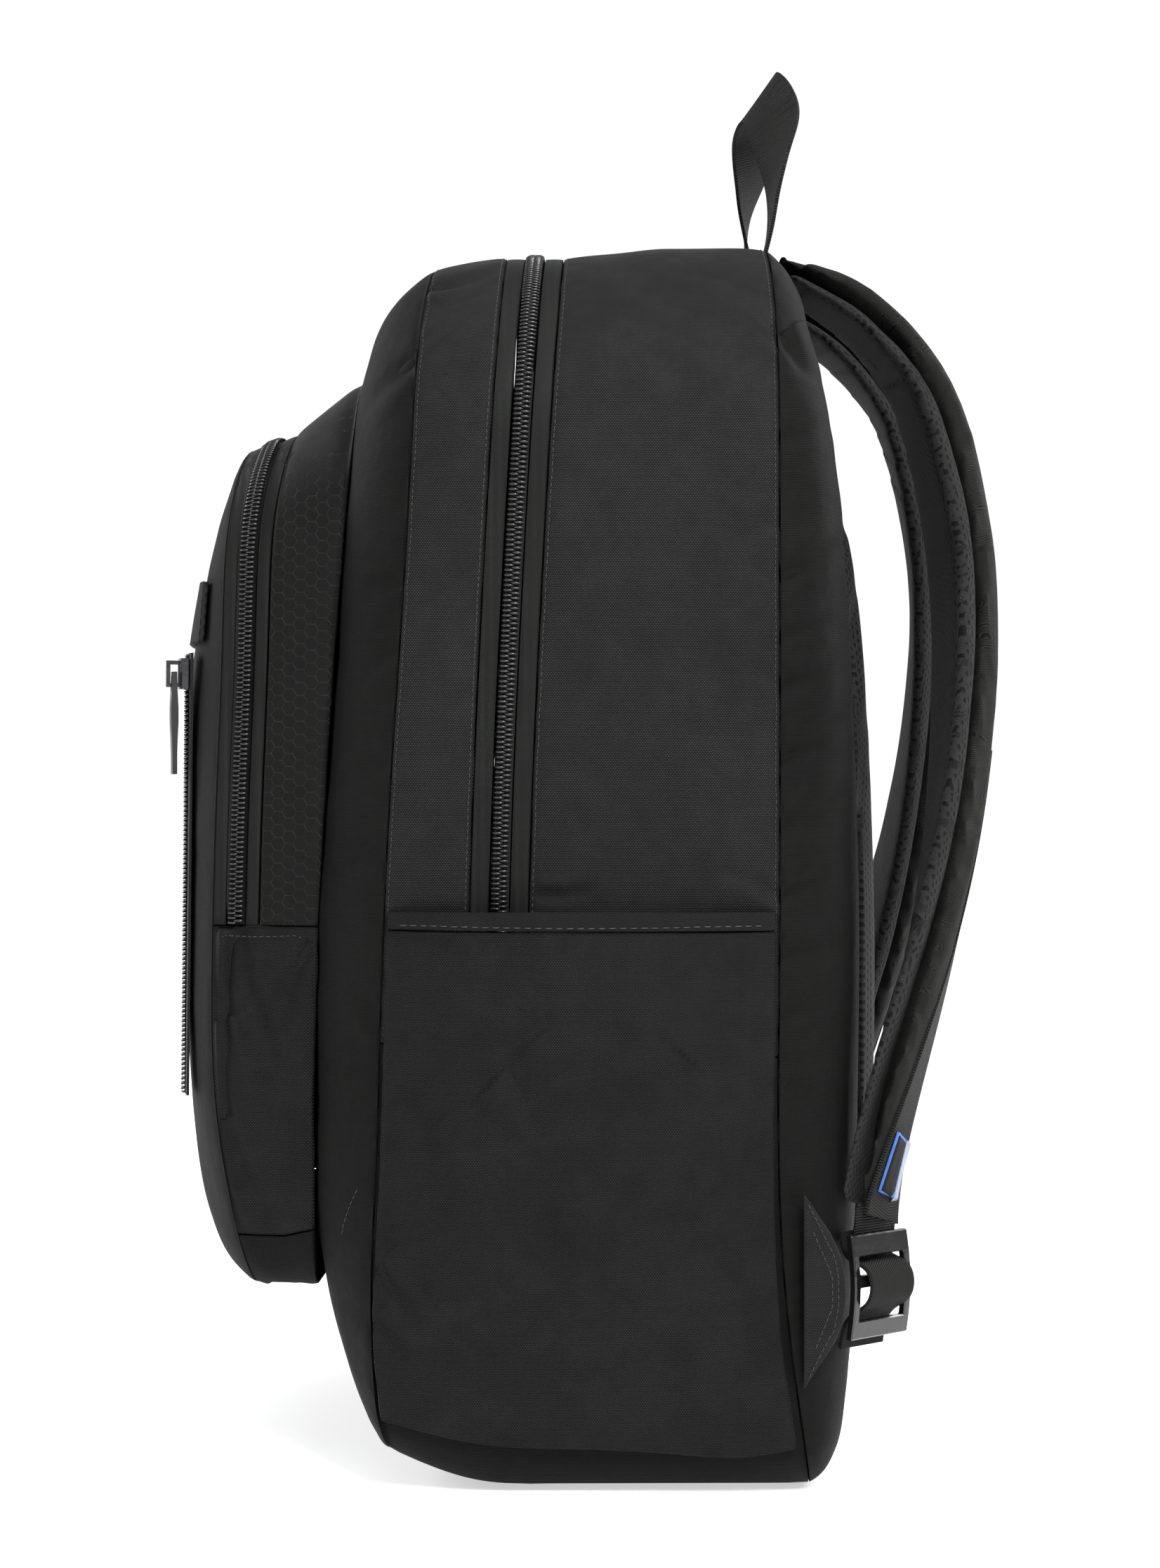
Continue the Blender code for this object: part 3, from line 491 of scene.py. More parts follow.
class Shader:
    """Small helper that wires one Principled material."""

    def __init__(self, name, roughness, specular=0.5, metallic=0.0, sheen=0.0, coat=0.0):
        self.material = bpy.data.materials.new(name)
        self.material.use_nodes = True
        self.tree = self.material.node_tree
        self.main = self.tree.nodes["Principled BSDF"]
        self.main.inputs["Roughness"].default_value = roughness
        self.main.inputs["Specular IOR Level"].default_value = specular
        self.main.inputs["Metallic"].default_value = metallic
        self.main.inputs["Sheen Weight"].default_value = sheen
        self.main.inputs["Sheen Roughness"].default_value = 0.5
        self.main.inputs["Coat Weight"].default_value = coat

    def node(self, kind, **values):
        made = self.tree.nodes.new(kind)
        for key, value in values.items():
            setattr(made, key, value)
        return made

    def put(self, socket, value):
        if isinstance(value, bpy.types.NodeSocket):
            self.tree.links.new(value, socket)
        else:
            socket.default_value = value

    def math(self, operation, a, b=0.0, c=0.0):
        made = self.node("ShaderNodeMath", operation=operation)
        for socket, value in zip(made.inputs, (a, b, c)):
            self.put(socket, value)
        return made.outputs[0]

    def step(self, value, low, high, out_low=0.0, out_high=1.0):
        made = self.node("ShaderNodeMapRange", interpolation_type="SMOOTHSTEP")
        for socket, given in zip(made.inputs, (value, low, high, out_low, out_high)):
            self.put(socket, given)
        return made.outputs[0]

    def cloth_mm(self):
        """Cloth coordinates in millimetres: across and along."""
        uv = self.node("ShaderNodeUVMap", uv_map="cloth")
        split = self.node("ShaderNodeSeparateXYZ")
        self.put(split.inputs[0], uv.outputs[0])
        return self.math("MULTIPLY", split.outputs[0], 1000), self.math("MULTIPLY", split.outputs[1], 1000)

    def cells(self, u, v, pitch_u, pitch_v, stagger=0.5):
        """Position inside a staggered cell, each from -0.5 to 0.5."""
        rows = self.math("DIVIDE", v, pitch_v)
        shift = self.math("MULTIPLY", self.math("FLOOR", rows), stagger)
        columns = self.math("ADD", self.math("DIVIDE", u, pitch_u), shift)
        return (self.math("SUBTRACT", self.math("FRACT", columns), 0.5),
                self.math("SUBTRACT", self.math("FRACT", rows), 0.5))

    def spot(self, cu, cv, low, high, stretch=1.0):
        """1 in the middle of a cell, 0 at its rim."""
        flat = self.math("MULTIPLY", cv, stretch)
        square = self.math("ADD", self.math("MULTIPLY", cu, cu), self.math("MULTIPLY", flat, flat))
        return self.step(self.math("SQRT", square), low, high, 1.0, 0.0)

    def clouds(self, scale, low, high, detail=3.0):
        """Soft uneven tone over the piece."""
        place = self.node("ShaderNodeTexCoord")
        made = self.node("ShaderNodeTexNoise")
        self.put(made.inputs["Vector"], place.outputs["Object"])
        made.inputs["Scale"].default_value = scale
        made.inputs["Detail"].default_value = detail
        return self.step(made.outputs[0], 0.3, 0.7, low, high)

    def colour(self, dark, light, mix, tone=None):
        blend = self.node("ShaderNodeMix", data_type="RGBA")
        self.put(blend.inputs[0], mix)
        blend.inputs[6].default_value = (*dark, 1)
        blend.inputs[7].default_value = (*light, 1)
        result = blend.outputs[2]
        if tone is not None:
            scale = self.node("ShaderNodeVectorMath", operation="SCALE")
            self.put(scale.inputs[0], result)
            self.put(scale.inputs["Scale"], tone)
            result = scale.outputs[0]
        self.put(self.main.inputs["Base Color"], result)

    def bump(self, height, distance, strength=1.0, under=None):
        made = self.node("ShaderNodeBump")
        made.inputs["Strength"].default_value = strength
        made.inputs["Distance"].default_value = distance * MM
        self.put(made.inputs["Height"], height)
        if under is not None:
            self.put(made.inputs["Normal"], under)
        return made.outputs[0]

    def done(self, normal):
        self.put(self.main.inputs["Normal"], normal)
        return self.material


def oxford(name, dark, light, pitch=WEAVE_PITCH, crease=0.25):
    """Coarse plain-weave polyester: staggered yarn crowns that catch the light."""
    s = Shader(name, 0.5, specular=0.13, sheen=0.004)
    u, v = s.cloth_mm()
    wander = s.clouds(9, -0.35, 0.35)
    cu, cv = s.cells(s.math("ADD", u, wander), s.math("ADD", v, wander), *pitch)
    crown = s.spot(cu, cv, 0.16, 0.46, 1.0)
    tone = s.math("MULTIPLY", s.clouds(14, 0.86, 1.14), s.clouds(140, 0.9, 1.1))
    s.colour(dark, light, crown, tone)
    s.put(s.main.inputs["Roughness"], s.clouds(60, 0.56, 0.70))
    soft = s.bump(s.clouds(70, 0, 1), crease)
    return s.done(s.bump(crown, 0.16, 0.8, soft))


def ribbed(name, dark, light, roughness=0.68, rib=RIB_PITCH, sheen=0.002):
    """Fine cloth with close horizontal ribs, each broken into short yarns."""
    s = Shader(name, roughness, specular=0.07, sheen=sheen)
    u, v = s.cloth_mm()
    cu, cv = s.cells(u, v, rib * 0.9, rib)
    ridge = s.step(s.math("ABSOLUTE", cv), 0.12, 0.5, 1.0, 0.0)
    yarn = s.math("MULTIPLY", ridge, s.step(s.math("ABSOLUTE", cu), 0.3, 0.5, 1.0, 0.55))
    tone = s.math("MULTIPLY", s.clouds(16, 0.88, 1.12), s.clouds(200, 0.92, 1.08))
    s.colour(dark, light, yarn, tone)
    soft = s.bump(s.clouds(80, 0, 1), 0.25)
    return s.done(s.bump(yarn, 0.10, 0.7, soft))


def webbing(name, dark, light, rib=1.05):
    """Narrow ribbed webbing: cross ribs with a finer twill over them."""
    s = Shader(name, 0.65, specular=0.08, sheen=0.0)
    u, v = s.cloth_mm()
    zig = s.math("PINGPONG", u, 2.1)
    ribs = s.math("ADD", v, s.math("MULTIPLY", zig, 0.12))
    cu, cv = s.cells(u, ribs, 0.75, rib)
    ridge = s.step(s.math("ABSOLUTE", cv), 0.1, 0.5, 1.0, 0.0)
    yarn = s.math("MULTIPLY", ridge, s.step(s.math("ABSOLUTE", cu), 0.25, 0.5, 1.0, 0.6))
    s.colour(dark, light, yarn, s.clouds(25, 0.88, 1.12))
    return s.done(s.bump(yarn, 0.3, 0.9))


def herringbone(name, dark, light):
    """Woven zip tape: fine slanted threads that change direction every 1.6 mm."""
    s = Shader(name, 0.5, specular=0.12, sheen=0.003)
    u, v = s.cloth_mm()
    slant = s.math("ADD", v, s.math("PINGPONG", u, 1.6))
    lines = s.math("ABSOLUTE", s.math("SUBTRACT", s.math("FRACT", s.math("DIVIDE", slant, 0.62)), 0.5))
    thread = s.step(lines, 0.1, 0.42, 1.0, 0.0)
    s.colour(dark, light, thread, s.clouds(40, 0.88, 1.12))
    return s.done(s.bump(thread, 0.12, 0.7))


def honeycomb(name, dark, light):
    """Ribbed cloth with raised outlines of flat-topped hexagons."""
    s = Shader(name, 0.5, specular=0.12, sheen=0.003)
    u, v = s.cloth_mm()
    height = HEX_PITCH
    width = height * math.sqrt(3)
    lines = []
    for shift in (0.0, 0.5):
        across = s.math("SUBTRACT", s.math("FRACT", s.math("ADD", s.math("DIVIDE", u, width), shift)), 0.5)
        up = s.math("SUBTRACT", s.math("FRACT", s.math("ADD", s.math("DIVIDE", v, height), shift)), 0.5)
        across = s.math("ABSOLUTE", s.math("MULTIPLY", across, width))
        up = s.math("ABSOLUTE", s.math("MULTIPLY", up, height))
        slanted = s.math("ADD", s.math("MULTIPLY", across, math.sqrt(0.75)), s.math("MULTIPLY", up, 0.5))
        lines.append(s.math("MAXIMUM", up, slanted))
    inside = s.math("SUBTRACT", height / 2, s.math("MINIMUM", *lines))
    ridge = s.step(inside, 0.04, 0.28, 1.0, 0.0)
    cu, cv = s.cells(u, v, 0.55, 0.55)
    yarn = s.spot(cu, cv, 0.15, 0.5)
    place = s.node("ShaderNodeTexCoord")
    split = s.node("ShaderNodeSeparateXYZ")
    s.put(split.inputs[0], place.outputs["Object"])
    below_top = s.step(split.outputs[2], 0.355, 0.395, 1.0, 0.0)
    fade = s.math("MULTIPLY", below_top, s.clouds(420, 0.25, 1.0, 1.0))
    raised = s.math("MULTIPLY", s.math("MULTIPLY", ridge, fade), 0.9)
    mix = s.math("ADD", s.math("MULTIPLY", yarn, 0.35), raised)
    s.colour(dark, light, mix, s.clouds(18, 0.9, 1.1))
    base = s.bump(yarn, 0.08, 0.6)
    return s.done(s.bump(s.math("MULTIPLY", ridge, fade), 0.35, 0.9, base))


def air_mesh(name, dark, light, pitch=(3.4, 2.1)):
    """Spacer mesh: staggered oval holes between knitted ribs."""
    s = Shader(name, 0.7, specular=0.2, sheen=0.02)
    u, v = s.cloth_mm()
    cu, cv = s.cells(v, u, *pitch)
    hole = s.spot(cu, cv, 0.2, 0.36, 1.05)
    fu, fv = s.cells(u, v, 0.5, 0.5)
    knit = s.spot(fu, fv, 0.12, 0.5)
    yarn = s.math("ADD", s.math("MULTIPLY", knit, 0.4), 0.6)
    solid = s.math("MULTIPLY", s.math("SUBTRACT", 1.0, hole), yarn)
    s.colour(dark, light, solid, s.clouds(25, 0.9, 1.1))
    return s.done(s.bump(solid, 0.8, 0.9))


def plain(name, colour, roughness, bump_scale=300, bump=0.03, **extra):
    """Moulded or plated surface with a slightly uneven skin."""
    s = Shader(name, roughness, **extra)
    s.colour([c * 0.85 for c in colour], colour, s.clouds(40, 0, 1))
    s.put(s.main.inputs["Roughness"], s.clouds(90, roughness * 0.85, roughness * 1.2))
    return s.done(s.bump(s.clouds(bump_scale, 0, 1), bump))


def make_materials():
    made_materials.update({
        "oxford_fabric": oxford("oxford_fabric", (0.0012, 0.0012, 0.0012), (0.023, 0.023, 0.0225)),
        # The pocket copy of the oxford cloth has the same weave painted darker: painted shade where the light
        # falls off low on the bag's sides
        "pocket_fabric": oxford("pocket_fabric", (0.0007, 0.0007, 0.0007), (0.0125, 0.0125, 0.0121)),
        "panel_fabric": ribbed("panel_fabric", (0.0010, 0.0010, 0.0009), (0.0078, 0.0078, 0.0074)),
        "face_fabric": ribbed("face_fabric", (0.0008, 0.0008, 0.0007), (0.0032, 0.0031, 0.0027), rib=0.5),
        "strap_fabric": ribbed("strap_fabric", (0.002, 0.002, 0.0019), (0.0165, 0.0168, 0.0157)),
        "embossed_fabric": honeycomb("embossed_fabric", (0.0016, 0.0016, 0.0015), (0.0175, 0.0175, 0.0160)),
        "air_mesh": air_mesh("air_mesh", (0.0006, 0.0006, 0.0006), (0.024, 0.024, 0.0235)),
        "webbing": webbing("webbing", (0.0012, 0.0012, 0.0012), (0.0195, 0.0205, 0.0188)),
        "zip_tape": herringbone("zip_tape", (0.0015, 0.0017, 0.0015), (0.0115, 0.0128, 0.0112)),
        "zip_coil": plain("zip_coil", (0.010, 0.010, 0.0105), 0.22, specular=0.6),
        "thread": plain("thread", (0.030, 0.030, 0.0295), 0.6),
        "slider_metal": plain("slider_metal", (0.10, 0.10, 0.104), 0.26, metallic=1.0),
        "buckle_plastic": plain("buckle_plastic", (0.007, 0.007, 0.007), 0.2, specular=0.55, coat=0.15),
        "pull_rubber": plain("pull_rubber", (0.008, 0.008, 0.008), 0.42),
        "label_cloth": ribbed("label_cloth", (0.008, 0.008, 0.008), (0.016, 0.016, 0.016), rib=0.4),
        "label_edge": ribbed("label_edge", (0.05, 0.13, 0.42), (0.10, 0.22, 0.60), rib=0.4),
        "label_fold": ribbed("label_fold", (0.25, 0.28, 0.32), (0.42, 0.45, 0.50), rib=0.4),
        "foam": plain("foam", (0.20, 0.20, 0.21), 0.9),
    })


def look(name):
    return made_materials[name]


# --- Panels -----------------------------------------------------------------------------------


def shell_panels():
    """The bag's sewn panels, each from its CAD shell."""
    line = arch_line("main_zip_coil")
    foot = np.array([[line[0][0], line[0][1], 0.02], *line, [line[-1][0], line[-1][1], 0.02]])
    made = {}

    def by_arch(points):
        return points[:, 1], along_line(points, foot, (0, 2))

    def by_front(points):
        return points[:, 0], points[:, 2]

    def by_side(points):
        return points[:, 1], points[:, 2]

    tape = dict(puff=0.0, pucker=0.1, sag=0.0)
    plan = [
        ("gusset_rear", "oxford_fabric", 5, by_arch, dict(puff=1.3, pucker=0.6, sag=1.6, folds=REAR_FOLDS)),
        ("gusset_front", "oxford_fabric", 5, by_arch, dict(puff=1.0, pucker=0.8, sag=0.9, folds=FRONT_FOLDS)),
        ("base_gusset", "panel_fabric", 3, by_side, dict(puff=0.3, pucker=0.2, sag=0.0)),
        ("front_panel", "panel_fabric", 4, by_front, dict(puff=1.2, pucker=0.9, sag=1.4, folds=WRAP_FOLDS)),
        ("back_panel", "panel_fabric", 5, by_front,
         dict(puff=1.6, pucker=1.0, sag=1.6, folds=BACK_FOLDS, flat_back=True)),
        ("pocket_gusset", "embossed_fabric", 4, by_arch, dict(puff=0.7, pucker=0.4, sag=1.0)),
        ("pocket_front_panel", "face_fabric", 4, by_front, dict(puff=0.9, pucker=0.5, sag=1.0)),
        ("pocket_base", "panel_fabric", 3, by_front, dict(puff=0.5, pucker=0.4, sag=0.5)),
    ]
    # The side pockets take the copy of the oxford cloth that carries painted shade
    for stem, material, levels, shape in (
            ("pocket_side", "pocket_fabric", 5, dict(puff=1.0, pucker=0.6, sag=1.4, folds=SLIP_FOLDS)),
            ("side_pocket", "pocket_fabric", 4, dict(puff=0.8, pucker=0.6, sag=2.0, folds=SIDE_FOLDS)),
            ("side_pocket_hem", "pocket_fabric", 4, dict(puff=0.2, pucker=0.2, sag=0.4))):
        plan += [(f"{stem}_{word}", material, levels, by_side, shape) for word, _ in SIDES]
    plan += [(f"{stem}_zip_tape_{edge}", "zip_tape", 3, by_arch, tape)
             for stem in ("main", "pocket") for edge in ("front", "rear")]
    plan += [(f"side_tab_{word}", "oxford_fabric", 3, by_side, dict(puff=0.3, pucker=0.2, sag=0.3))
             for word, _ in SIDES]
    for seed, (node, material, levels, mapping, shape) in enumerate(plan):
        piece = cloth_copy(node, f"{node}_cloth", levels)
        set_cloth_uv(piece, *mapping(points_of(piece)))
        shape_cloth(piece, 10 * seed, **shape)
        made[node] = piece
    wall = tree_of(made["front_panel"])
    for node in ("pocket_gusset", "pocket_side_left", "pocket_side_right", "pocket_base"):
        settle(made[node], wall)
    for node, material, *_ in plan:
        finish_piece(made[node], "bag", CLOTH_SLOT.get(material, material), material, node)
    return made


# --- Zips -------------------------------------------------------------------------------------


def coil_teeth(name, node, path, ups):
    """Interlocked nylon coil: loops from both edges that meet along the middle."""
    line, _ = resample(smooth_path(path), COIL_PITCH / 2)
    rise = np.stack([np.interp(np.linspace(0, 1, len(line)), np.linspace(0, 1, len(ups)),
                               np.array(ups)[:, k]) for k in range(3)], axis=1)
    tangents = np.gradient(line, axis=0)
    points, faces = [], []
    for k in range(1, len(line) - 1):
        along = tangents[k] / np.linalg.norm(tangents[k])
        up = rise[k] - along * rise[k].dot(along)
        up /= np.linalg.norm(up)
        across = np.cross(along, up) * (1 if k % 2 else -1)
        run = [line[k] + (across * a + up * h) * MM for a, h in COIL_PROFILE]
        tube_mesh(points, faces, run, np.array(COIL_RADII) * MM, 6, [up * 0.2 + along] * len(run))
    piece = new_object(name, points, faces)
    flat = points_of(piece)
    set_cloth_uv(piece, flat[:, 1], flat[:, 2])
    finish_piece(piece, "bag", "zip_coil", "zip_coil", node)


def zip_line(node):
    """Middle line of an arched coil on its outer face, and its outward direction."""
    line = smooth_path(arch_line(node), 1)
    tangents = np.gradient(line, axis=0)
    ups = np.cross(tangents, np.tile((0.0, 1.0, 0.0), (len(line), 1)))
    ups /= np.linalg.norm(ups, axis=1, keepdims=True)
    outward = np.sign((ups * (line - (0, 0, ARCH_CENTRE_Z))).sum(axis=1))
    return line, ups * outward[:, None]


def coil_backing(node):
    """The woven core that the coil's loops are sewn round."""
    piece = cloth_copy(node, f"{node}_core", 2)
    points, normals = points_of(piece), normals_of(piece)
    line = middle_line(points, (0, ARCH_CENTRE_Z), [0, 2], 60)
    centre = np.array((0, line[:, 1].mean(), ARCH_CENTRE_Z))
    outward = (normals * (points - centre)).sum(axis=1) > 0
    move_points(piece, points - normals * (outward * 1.3 * MM)[:, None])
    points = points_of(piece)
    set_cloth_uv(piece, points[:, 1], points[:, 2])
    finish_piece(piece, "bag", "zip_tape", "zip_tape", node)


def make_coils():
    for node in ("main_zip_coil", "pocket_zip_coil"):
        line, ups = zip_line(node)
        if node == "pocket_zip_coil":
            ups = ups + np.array((0, -0.35, 0))
            ups /= np.linalg.norm(ups, axis=1, keepdims=True)
        coil_backing(node)
        coil_teeth(f"{node}_teeth", node, line, ups)
    points = corners("front_zip_coil")
    top, foot = points[:, 2].max(), points[:, 2].min()
    ends = [points[np.abs(points[:, 2] - z) < 1e-4].mean(axis=0) for z in (foot, top)]
    corners_of_core = [end + (u * MM, 0.8 * MM, 0) for end in ends for u in (-3.6, 3.6)]
    core = new_object("front_zip_core", corners_of_core, [(0, 1, 3, 2)], smooth=False)
    finish_piece(core, "bag", "zip_tape", "zip_tape", "front_zip_coil")
    coil_teeth("front_zip_coil_teeth", "front_zip_coil", [ends[0], (ends[0] + ends[1]) / 2, ends[1]],
               [(0.21, -0.98, 0.0)] * 3)


# --- Stitching --------------------------------------------------------------------------------


def stitched(name, rows, surface, **how):
    """Rows of stitches laid on a piece of cloth, as one object."""
    tree = tree_of(surface)
    points, faces = [], []
    for path in rows:
        run, _ = resample(smooth_path(path, 1), 2 * MM)
        run, ups = laid_on(tree, run, THREAD * 0.6)
        stitch_row(points, faces, run, ups, **how)
    piece = new_object(name, points, faces)
    flat = points_of(piece)
    set_cloth_uv(piece, flat[:, 1], flat[:, 2])
    finish_piece(piece, "bag", "webbing", "thread")


def shifted(path, y):
    return np.array(path) + (0, y * MM, 0)


def make_stitching(panels):
    fine = dict(pitch=2.6 * MM, share=0.66, thread=0.17 * MM)
    hidden = dict(pitch=2.4 * MM, share=0.6, thread=0.14 * MM)
    stitched("zip_stitch_front", [shifted(rim_line("gusset_front", front=False), -1.4)],
             panels["gusset_front"], **fine)
    stitched("zip_stitch_rear", [shifted(rim_line("gusset_rear"), 1.4)], panels["gusset_rear"], **fine)
    stitched("seam_stitch_front", [shifted(rim_line("gusset_front"), 1.5)], panels["gusset_front"], **hidden)
    stitched("seam_stitch_rear", [shifted(rim_line("gusset_rear", front=False), -1.6)],
             panels["gusset_rear"], **hidden)
    for word, side in SIDES:
        hem = corners(f"side_pocket_hem_{word}")
        low, high = hem[:, 1].min() + 1 * MM, hem[:, 1].max() - 1 * MM
        x = side * (np.abs(hem[:, 0]).max())
        path = [(x, y, hem[:, 2].min() + 1.2 * MM) for y in np.linspace(low, high, 20)]
        stitched(f"hem_stitch_{word}", [path], panels[f"side_pocket_hem_{word}"], thread=0.24 * MM)
        slip = corners(f"pocket_side_{word}")
        low, high = slip[:, 1].min() + 2 * MM, slip[:, 1].max() - 2 * MM
        path = [(side * SLIP_STITCH_X, y, slip[:, 2].max() - 3.5 * MM) for y in np.linspace(low, high, 12)]
        stitched(f"slip_stitch_{word}", [path], panels[f"pocket_side_{word}"], **fine)
        dart = [(side * DART_STITCH_X, y * MM, z * MM) for y, z in ((-76, 119), (-88, 106), (-99, 93))]
        stitched(f"dart_stitch_{word}", [dart], panels["front_panel"], **fine)
        tab = corners(f"side_tab_{word}")
        mid = tab.mean(axis=0)
        outlines = (((84, 108), (90, 98), (97, 85), (97, 64), (90, 53), (84, 43)),
                    ((86, 98), (97, 75), (86, 52)))
        rows = [[(mid[0] + side * 3 * MM, y * MM, z * MM) for y, z in outline] for outline in outlines]
        stitched(f"tab_stitch_{word}", rows, panels[f"side_tab_{word}"], **fine)


# --- Webbing, straps and hardware ---------------------------------------------------------------


def inflate(piece, cap, slack, pressure=4.0, voxel=4.0, frames=20):
    """Fills a slightly smaller pad by cloth simulation, with no point moving further than cap mm."""
    move_points(piece, points_of(piece) - normals_of(piece) * slack * MM)
    remesh = piece.modifiers.new("remesh", "REMESH")
    remesh.mode = "VOXEL"
    remesh.voxel_size = voxel * MM
    apply_modifiers(piece)
    start = points_of(piece)
    cloth = piece.modifiers.new("cloth", "CLOTH")
    cloth.settings.quality = 4
    cloth.settings.mass = 0.15
    cloth.settings.tension_stiffness = 12
    cloth.settings.compression_stiffness = 12
    cloth.settings.bending_stiffness = 0.8
    cloth.settings.use_pressure = True
    cloth.settings.uniform_pressure_force = pressure
    cloth.settings.effector_weights.gravity = 0
    cloth.point_cache.frame_start, cloth.point_cache.frame_end = 1, frames
    for frame_number in range(1, frames + 1):
        scene.frame_set(frame_number)
    apply_modifiers(piece)
    scene.frame_set(1)
    moved = points_of(piece) - start
    length = np.linalg.norm(moved, axis=1, keepdims=True)
    move_points(piece, start + moved * np.minimum(1.0, cap * MM / np.maximum(length, 1e-9)))
    divide = piece.modifiers.new("divide", "SUBSURF")
    divide.levels = divide.render_levels = 1
    apply_modifiers(piece)
    piece.data.shade_smooth()


def strap_line(word):
    """Middle line of a shoulder strap, from its seam to its foot."""
    return smooth_path(middle_line(corners(f"shoulder_pad_{word}"), STRAP_CENTRE, [1, 2], 22), 1)


def strap_puckers(piece, line, depth, seed):
    """Small ripples along the sewn edges of a strap, and soft unevenness over it."""
    points, normals = points_of(piece), normals_of(piece)
    away = np.abs(points[:, 0] - line[nearest_on(line, points)][:, 0]) / MM
    edge = np.exp(-((STRAP_HALF - np.minimum(away, STRAP_HALF)) / 6))
    lift = depth * edge * noise(points / MM / (30, 9, 6.5), seed)
    lift += 0.8 * depth * noise(points / MM / (38, 30, 34), seed + 1)
    move_points(piece, points + normals * (lift * MM)[:, None])


def fill_out(piece, line, height, taper=8):
    """Crowns the wearer's side of a strap between its sewn edges."""
    points, normals = points_of(piece), normals_of(piece)
    near = nearest_on(line, points)
    ends = np.clip(np.minimum(near, len(line) - 1 - near) / taper, 0, 1)
    inward = np.clip(-normals[:, 1], 0, 1)
    move_points(piece, points + normals * (height * MM * ends * inward)[:, None])


def seat_root(piece, drop=3.0, pull=7.5, start=78, end=112, above=400):
    """Draws a strap's sewn end into the seam at the bag's top rear corner."""
    points = points_of(piece)
    share = np.clip((end - points[:, 1] / MM) / (end - start), 0, 1) * (points[:, 2] > above * MM)
    share = share * share * (3 - 2 * share)
    points[:, 2] -= drop * MM * share
    points[:, 1] -= pull * MM * share
    move_points(piece, points)


def make_foot_tabs():
    """Short webbing from each strap's foot to the back of its ladder lock's sewn-in bar."""
    route = ((12.4, -2.6), (16, -3.0), (20, -2.4), (24, -1.6), (30, -1.2))
    columns = (-11.5, -4, 4, 11.5)
    for word, side in SIDES:
        lock = corners(f"ladder_lock_{word}")
        middle = (lock.min(axis=0) + lock.max(axis=0)) / 2
        across = np.array((side, -1.0, 0.0)) / math.sqrt(2)
        out = np.array((side, 1.0, 0.0)) / math.sqrt(2)
        grid = []
        for rise, depth in route:
            lean = np.array((-0.05 * side * (rise - 12) * MM, 0, rise * MM))
            grid += [middle + out * (depth * MM) + lean + across * (u * MM) for u in columns]
        tab = thin_sheet(f"strap_foot_tab_{word}", grid, len(columns), 1.2 * MM, offset=0)
        flat = points_of(tab)
        set_cloth_uv(tab, flat @ across, flat[:, 2])
        finish_piece(tab, f"strap_{word}", "webbing", "webbing")


def make_straps():
    """Padded straps: a foam-filled cover, an air-mesh face with its open edge, and webbing."""
    for number, (word, _) in enumerate(SIDES):
        line, body = strap_line(word), f"strap_{word}"
        pad = cloth_copy(f"shoulder_pad_{word}", f"shoulder_pad_{word}_cover", 3, crease=180)
        inflate(pad, 2.4, slack=0.5)
        strap_puckers(pad, line, 0.55, 300 + number)
        strip_uv(pad, line)
        face = cloth_copy(f"pad_mesh_{word}", f"pad_mesh_{word}_face", 3, crease=180)
        strap_puckers(face, line, 0.4, 320 + number)
        fill_out(face, line, 4.2)
        for piece in (pad, face):
            seat_root(piece)
        strip_uv(face, line)
        for piece, slot, material, node in ((pad, "panel_fabric", "strap_fabric", f"shoulder_pad_{word}"),
                                            (face, "air_mesh", "air_mesh", f"pad_mesh_{word}")):
            dress(piece, material)
            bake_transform(piece)
            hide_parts(node)
        band = cloth_copy(f"pad_webbing_{word}", f"pad_webbing_{word}_weave", 3, crease=60)
        strip_uv(band, line)
        finish_piece(band, body, "webbing", "webbing", f"pad_webbing_{word}")


def make_back_pads():
    for word, _ in SIDES:
        pad = cloth_copy(f"back_pad_{word}", f"back_pad_{word}_cover", 3, crease=180)
        inflate(pad, 2.6, slack=0.2)
        points = points_of(pad)
        set_cloth_uv(pad, points[:, 0], points[:, 2])
        finish_piece(pad, "bag", "air_mesh", "air_mesh", f"back_pad_{word}")


def make_webbing():
    """Grab handle, adjuster webbing and the band across the organiser pocket."""
    handle = cloth_copy("handle_loop", "handle_loop_weave", 4, crease=60)
    line = smooth_path(middle_line(points_of(handle), HANDLE_CENTRE, [0, 2], 26), 1)
    points = points_of(handle)
    reach = along_line(points, line, (0, 1, 2))
    turned = np.array([line[np.argmin(np.linalg.norm(line - p, axis=1))] for p in points])
    away = points - turned
    set_cloth_uv(handle, np.sign(away[:, 1] + 1e-9) * np.linalg.norm(away[:, :2], axis=1), reach)
    dress(handle, "webbing")
    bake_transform(handle)
    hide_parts("handle_loop")
    for word, side in SIDES:
        node = f"adjuster_webbing_{word}"
        strap = cloth_copy(node, f"{node}_weave", 4, crease=60)
        points = points_of(strap)
        across = (points[:, 0] * side - points[:, 1]) * DIAGONAL
        set_cloth_uv(strap, across, points[:, 2] - points[:, 1])
        dress(strap, "webbing")
        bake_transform(strap)
        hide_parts(node)
    band = cloth_copy("front_band", "front_band_weave", 3, crease=60)
    points = points_of(band)
    set_cloth_uv(band, points[:, 2], points[:, 0])
    finish_piece(band, "bag", "webbing", "webbing", "front_band")
    for word, _ in SIDES:
        node = f"front_zip_tape_{word}"
        tape = cloth_copy(node, f"{node}_weave", 3)
        points = points_of(tape)
        set_cloth_uv(tape, points[:, 0], points[:, 2])
        finish_piece(tape, "bag", "zip_tape", "zip_tape", node)


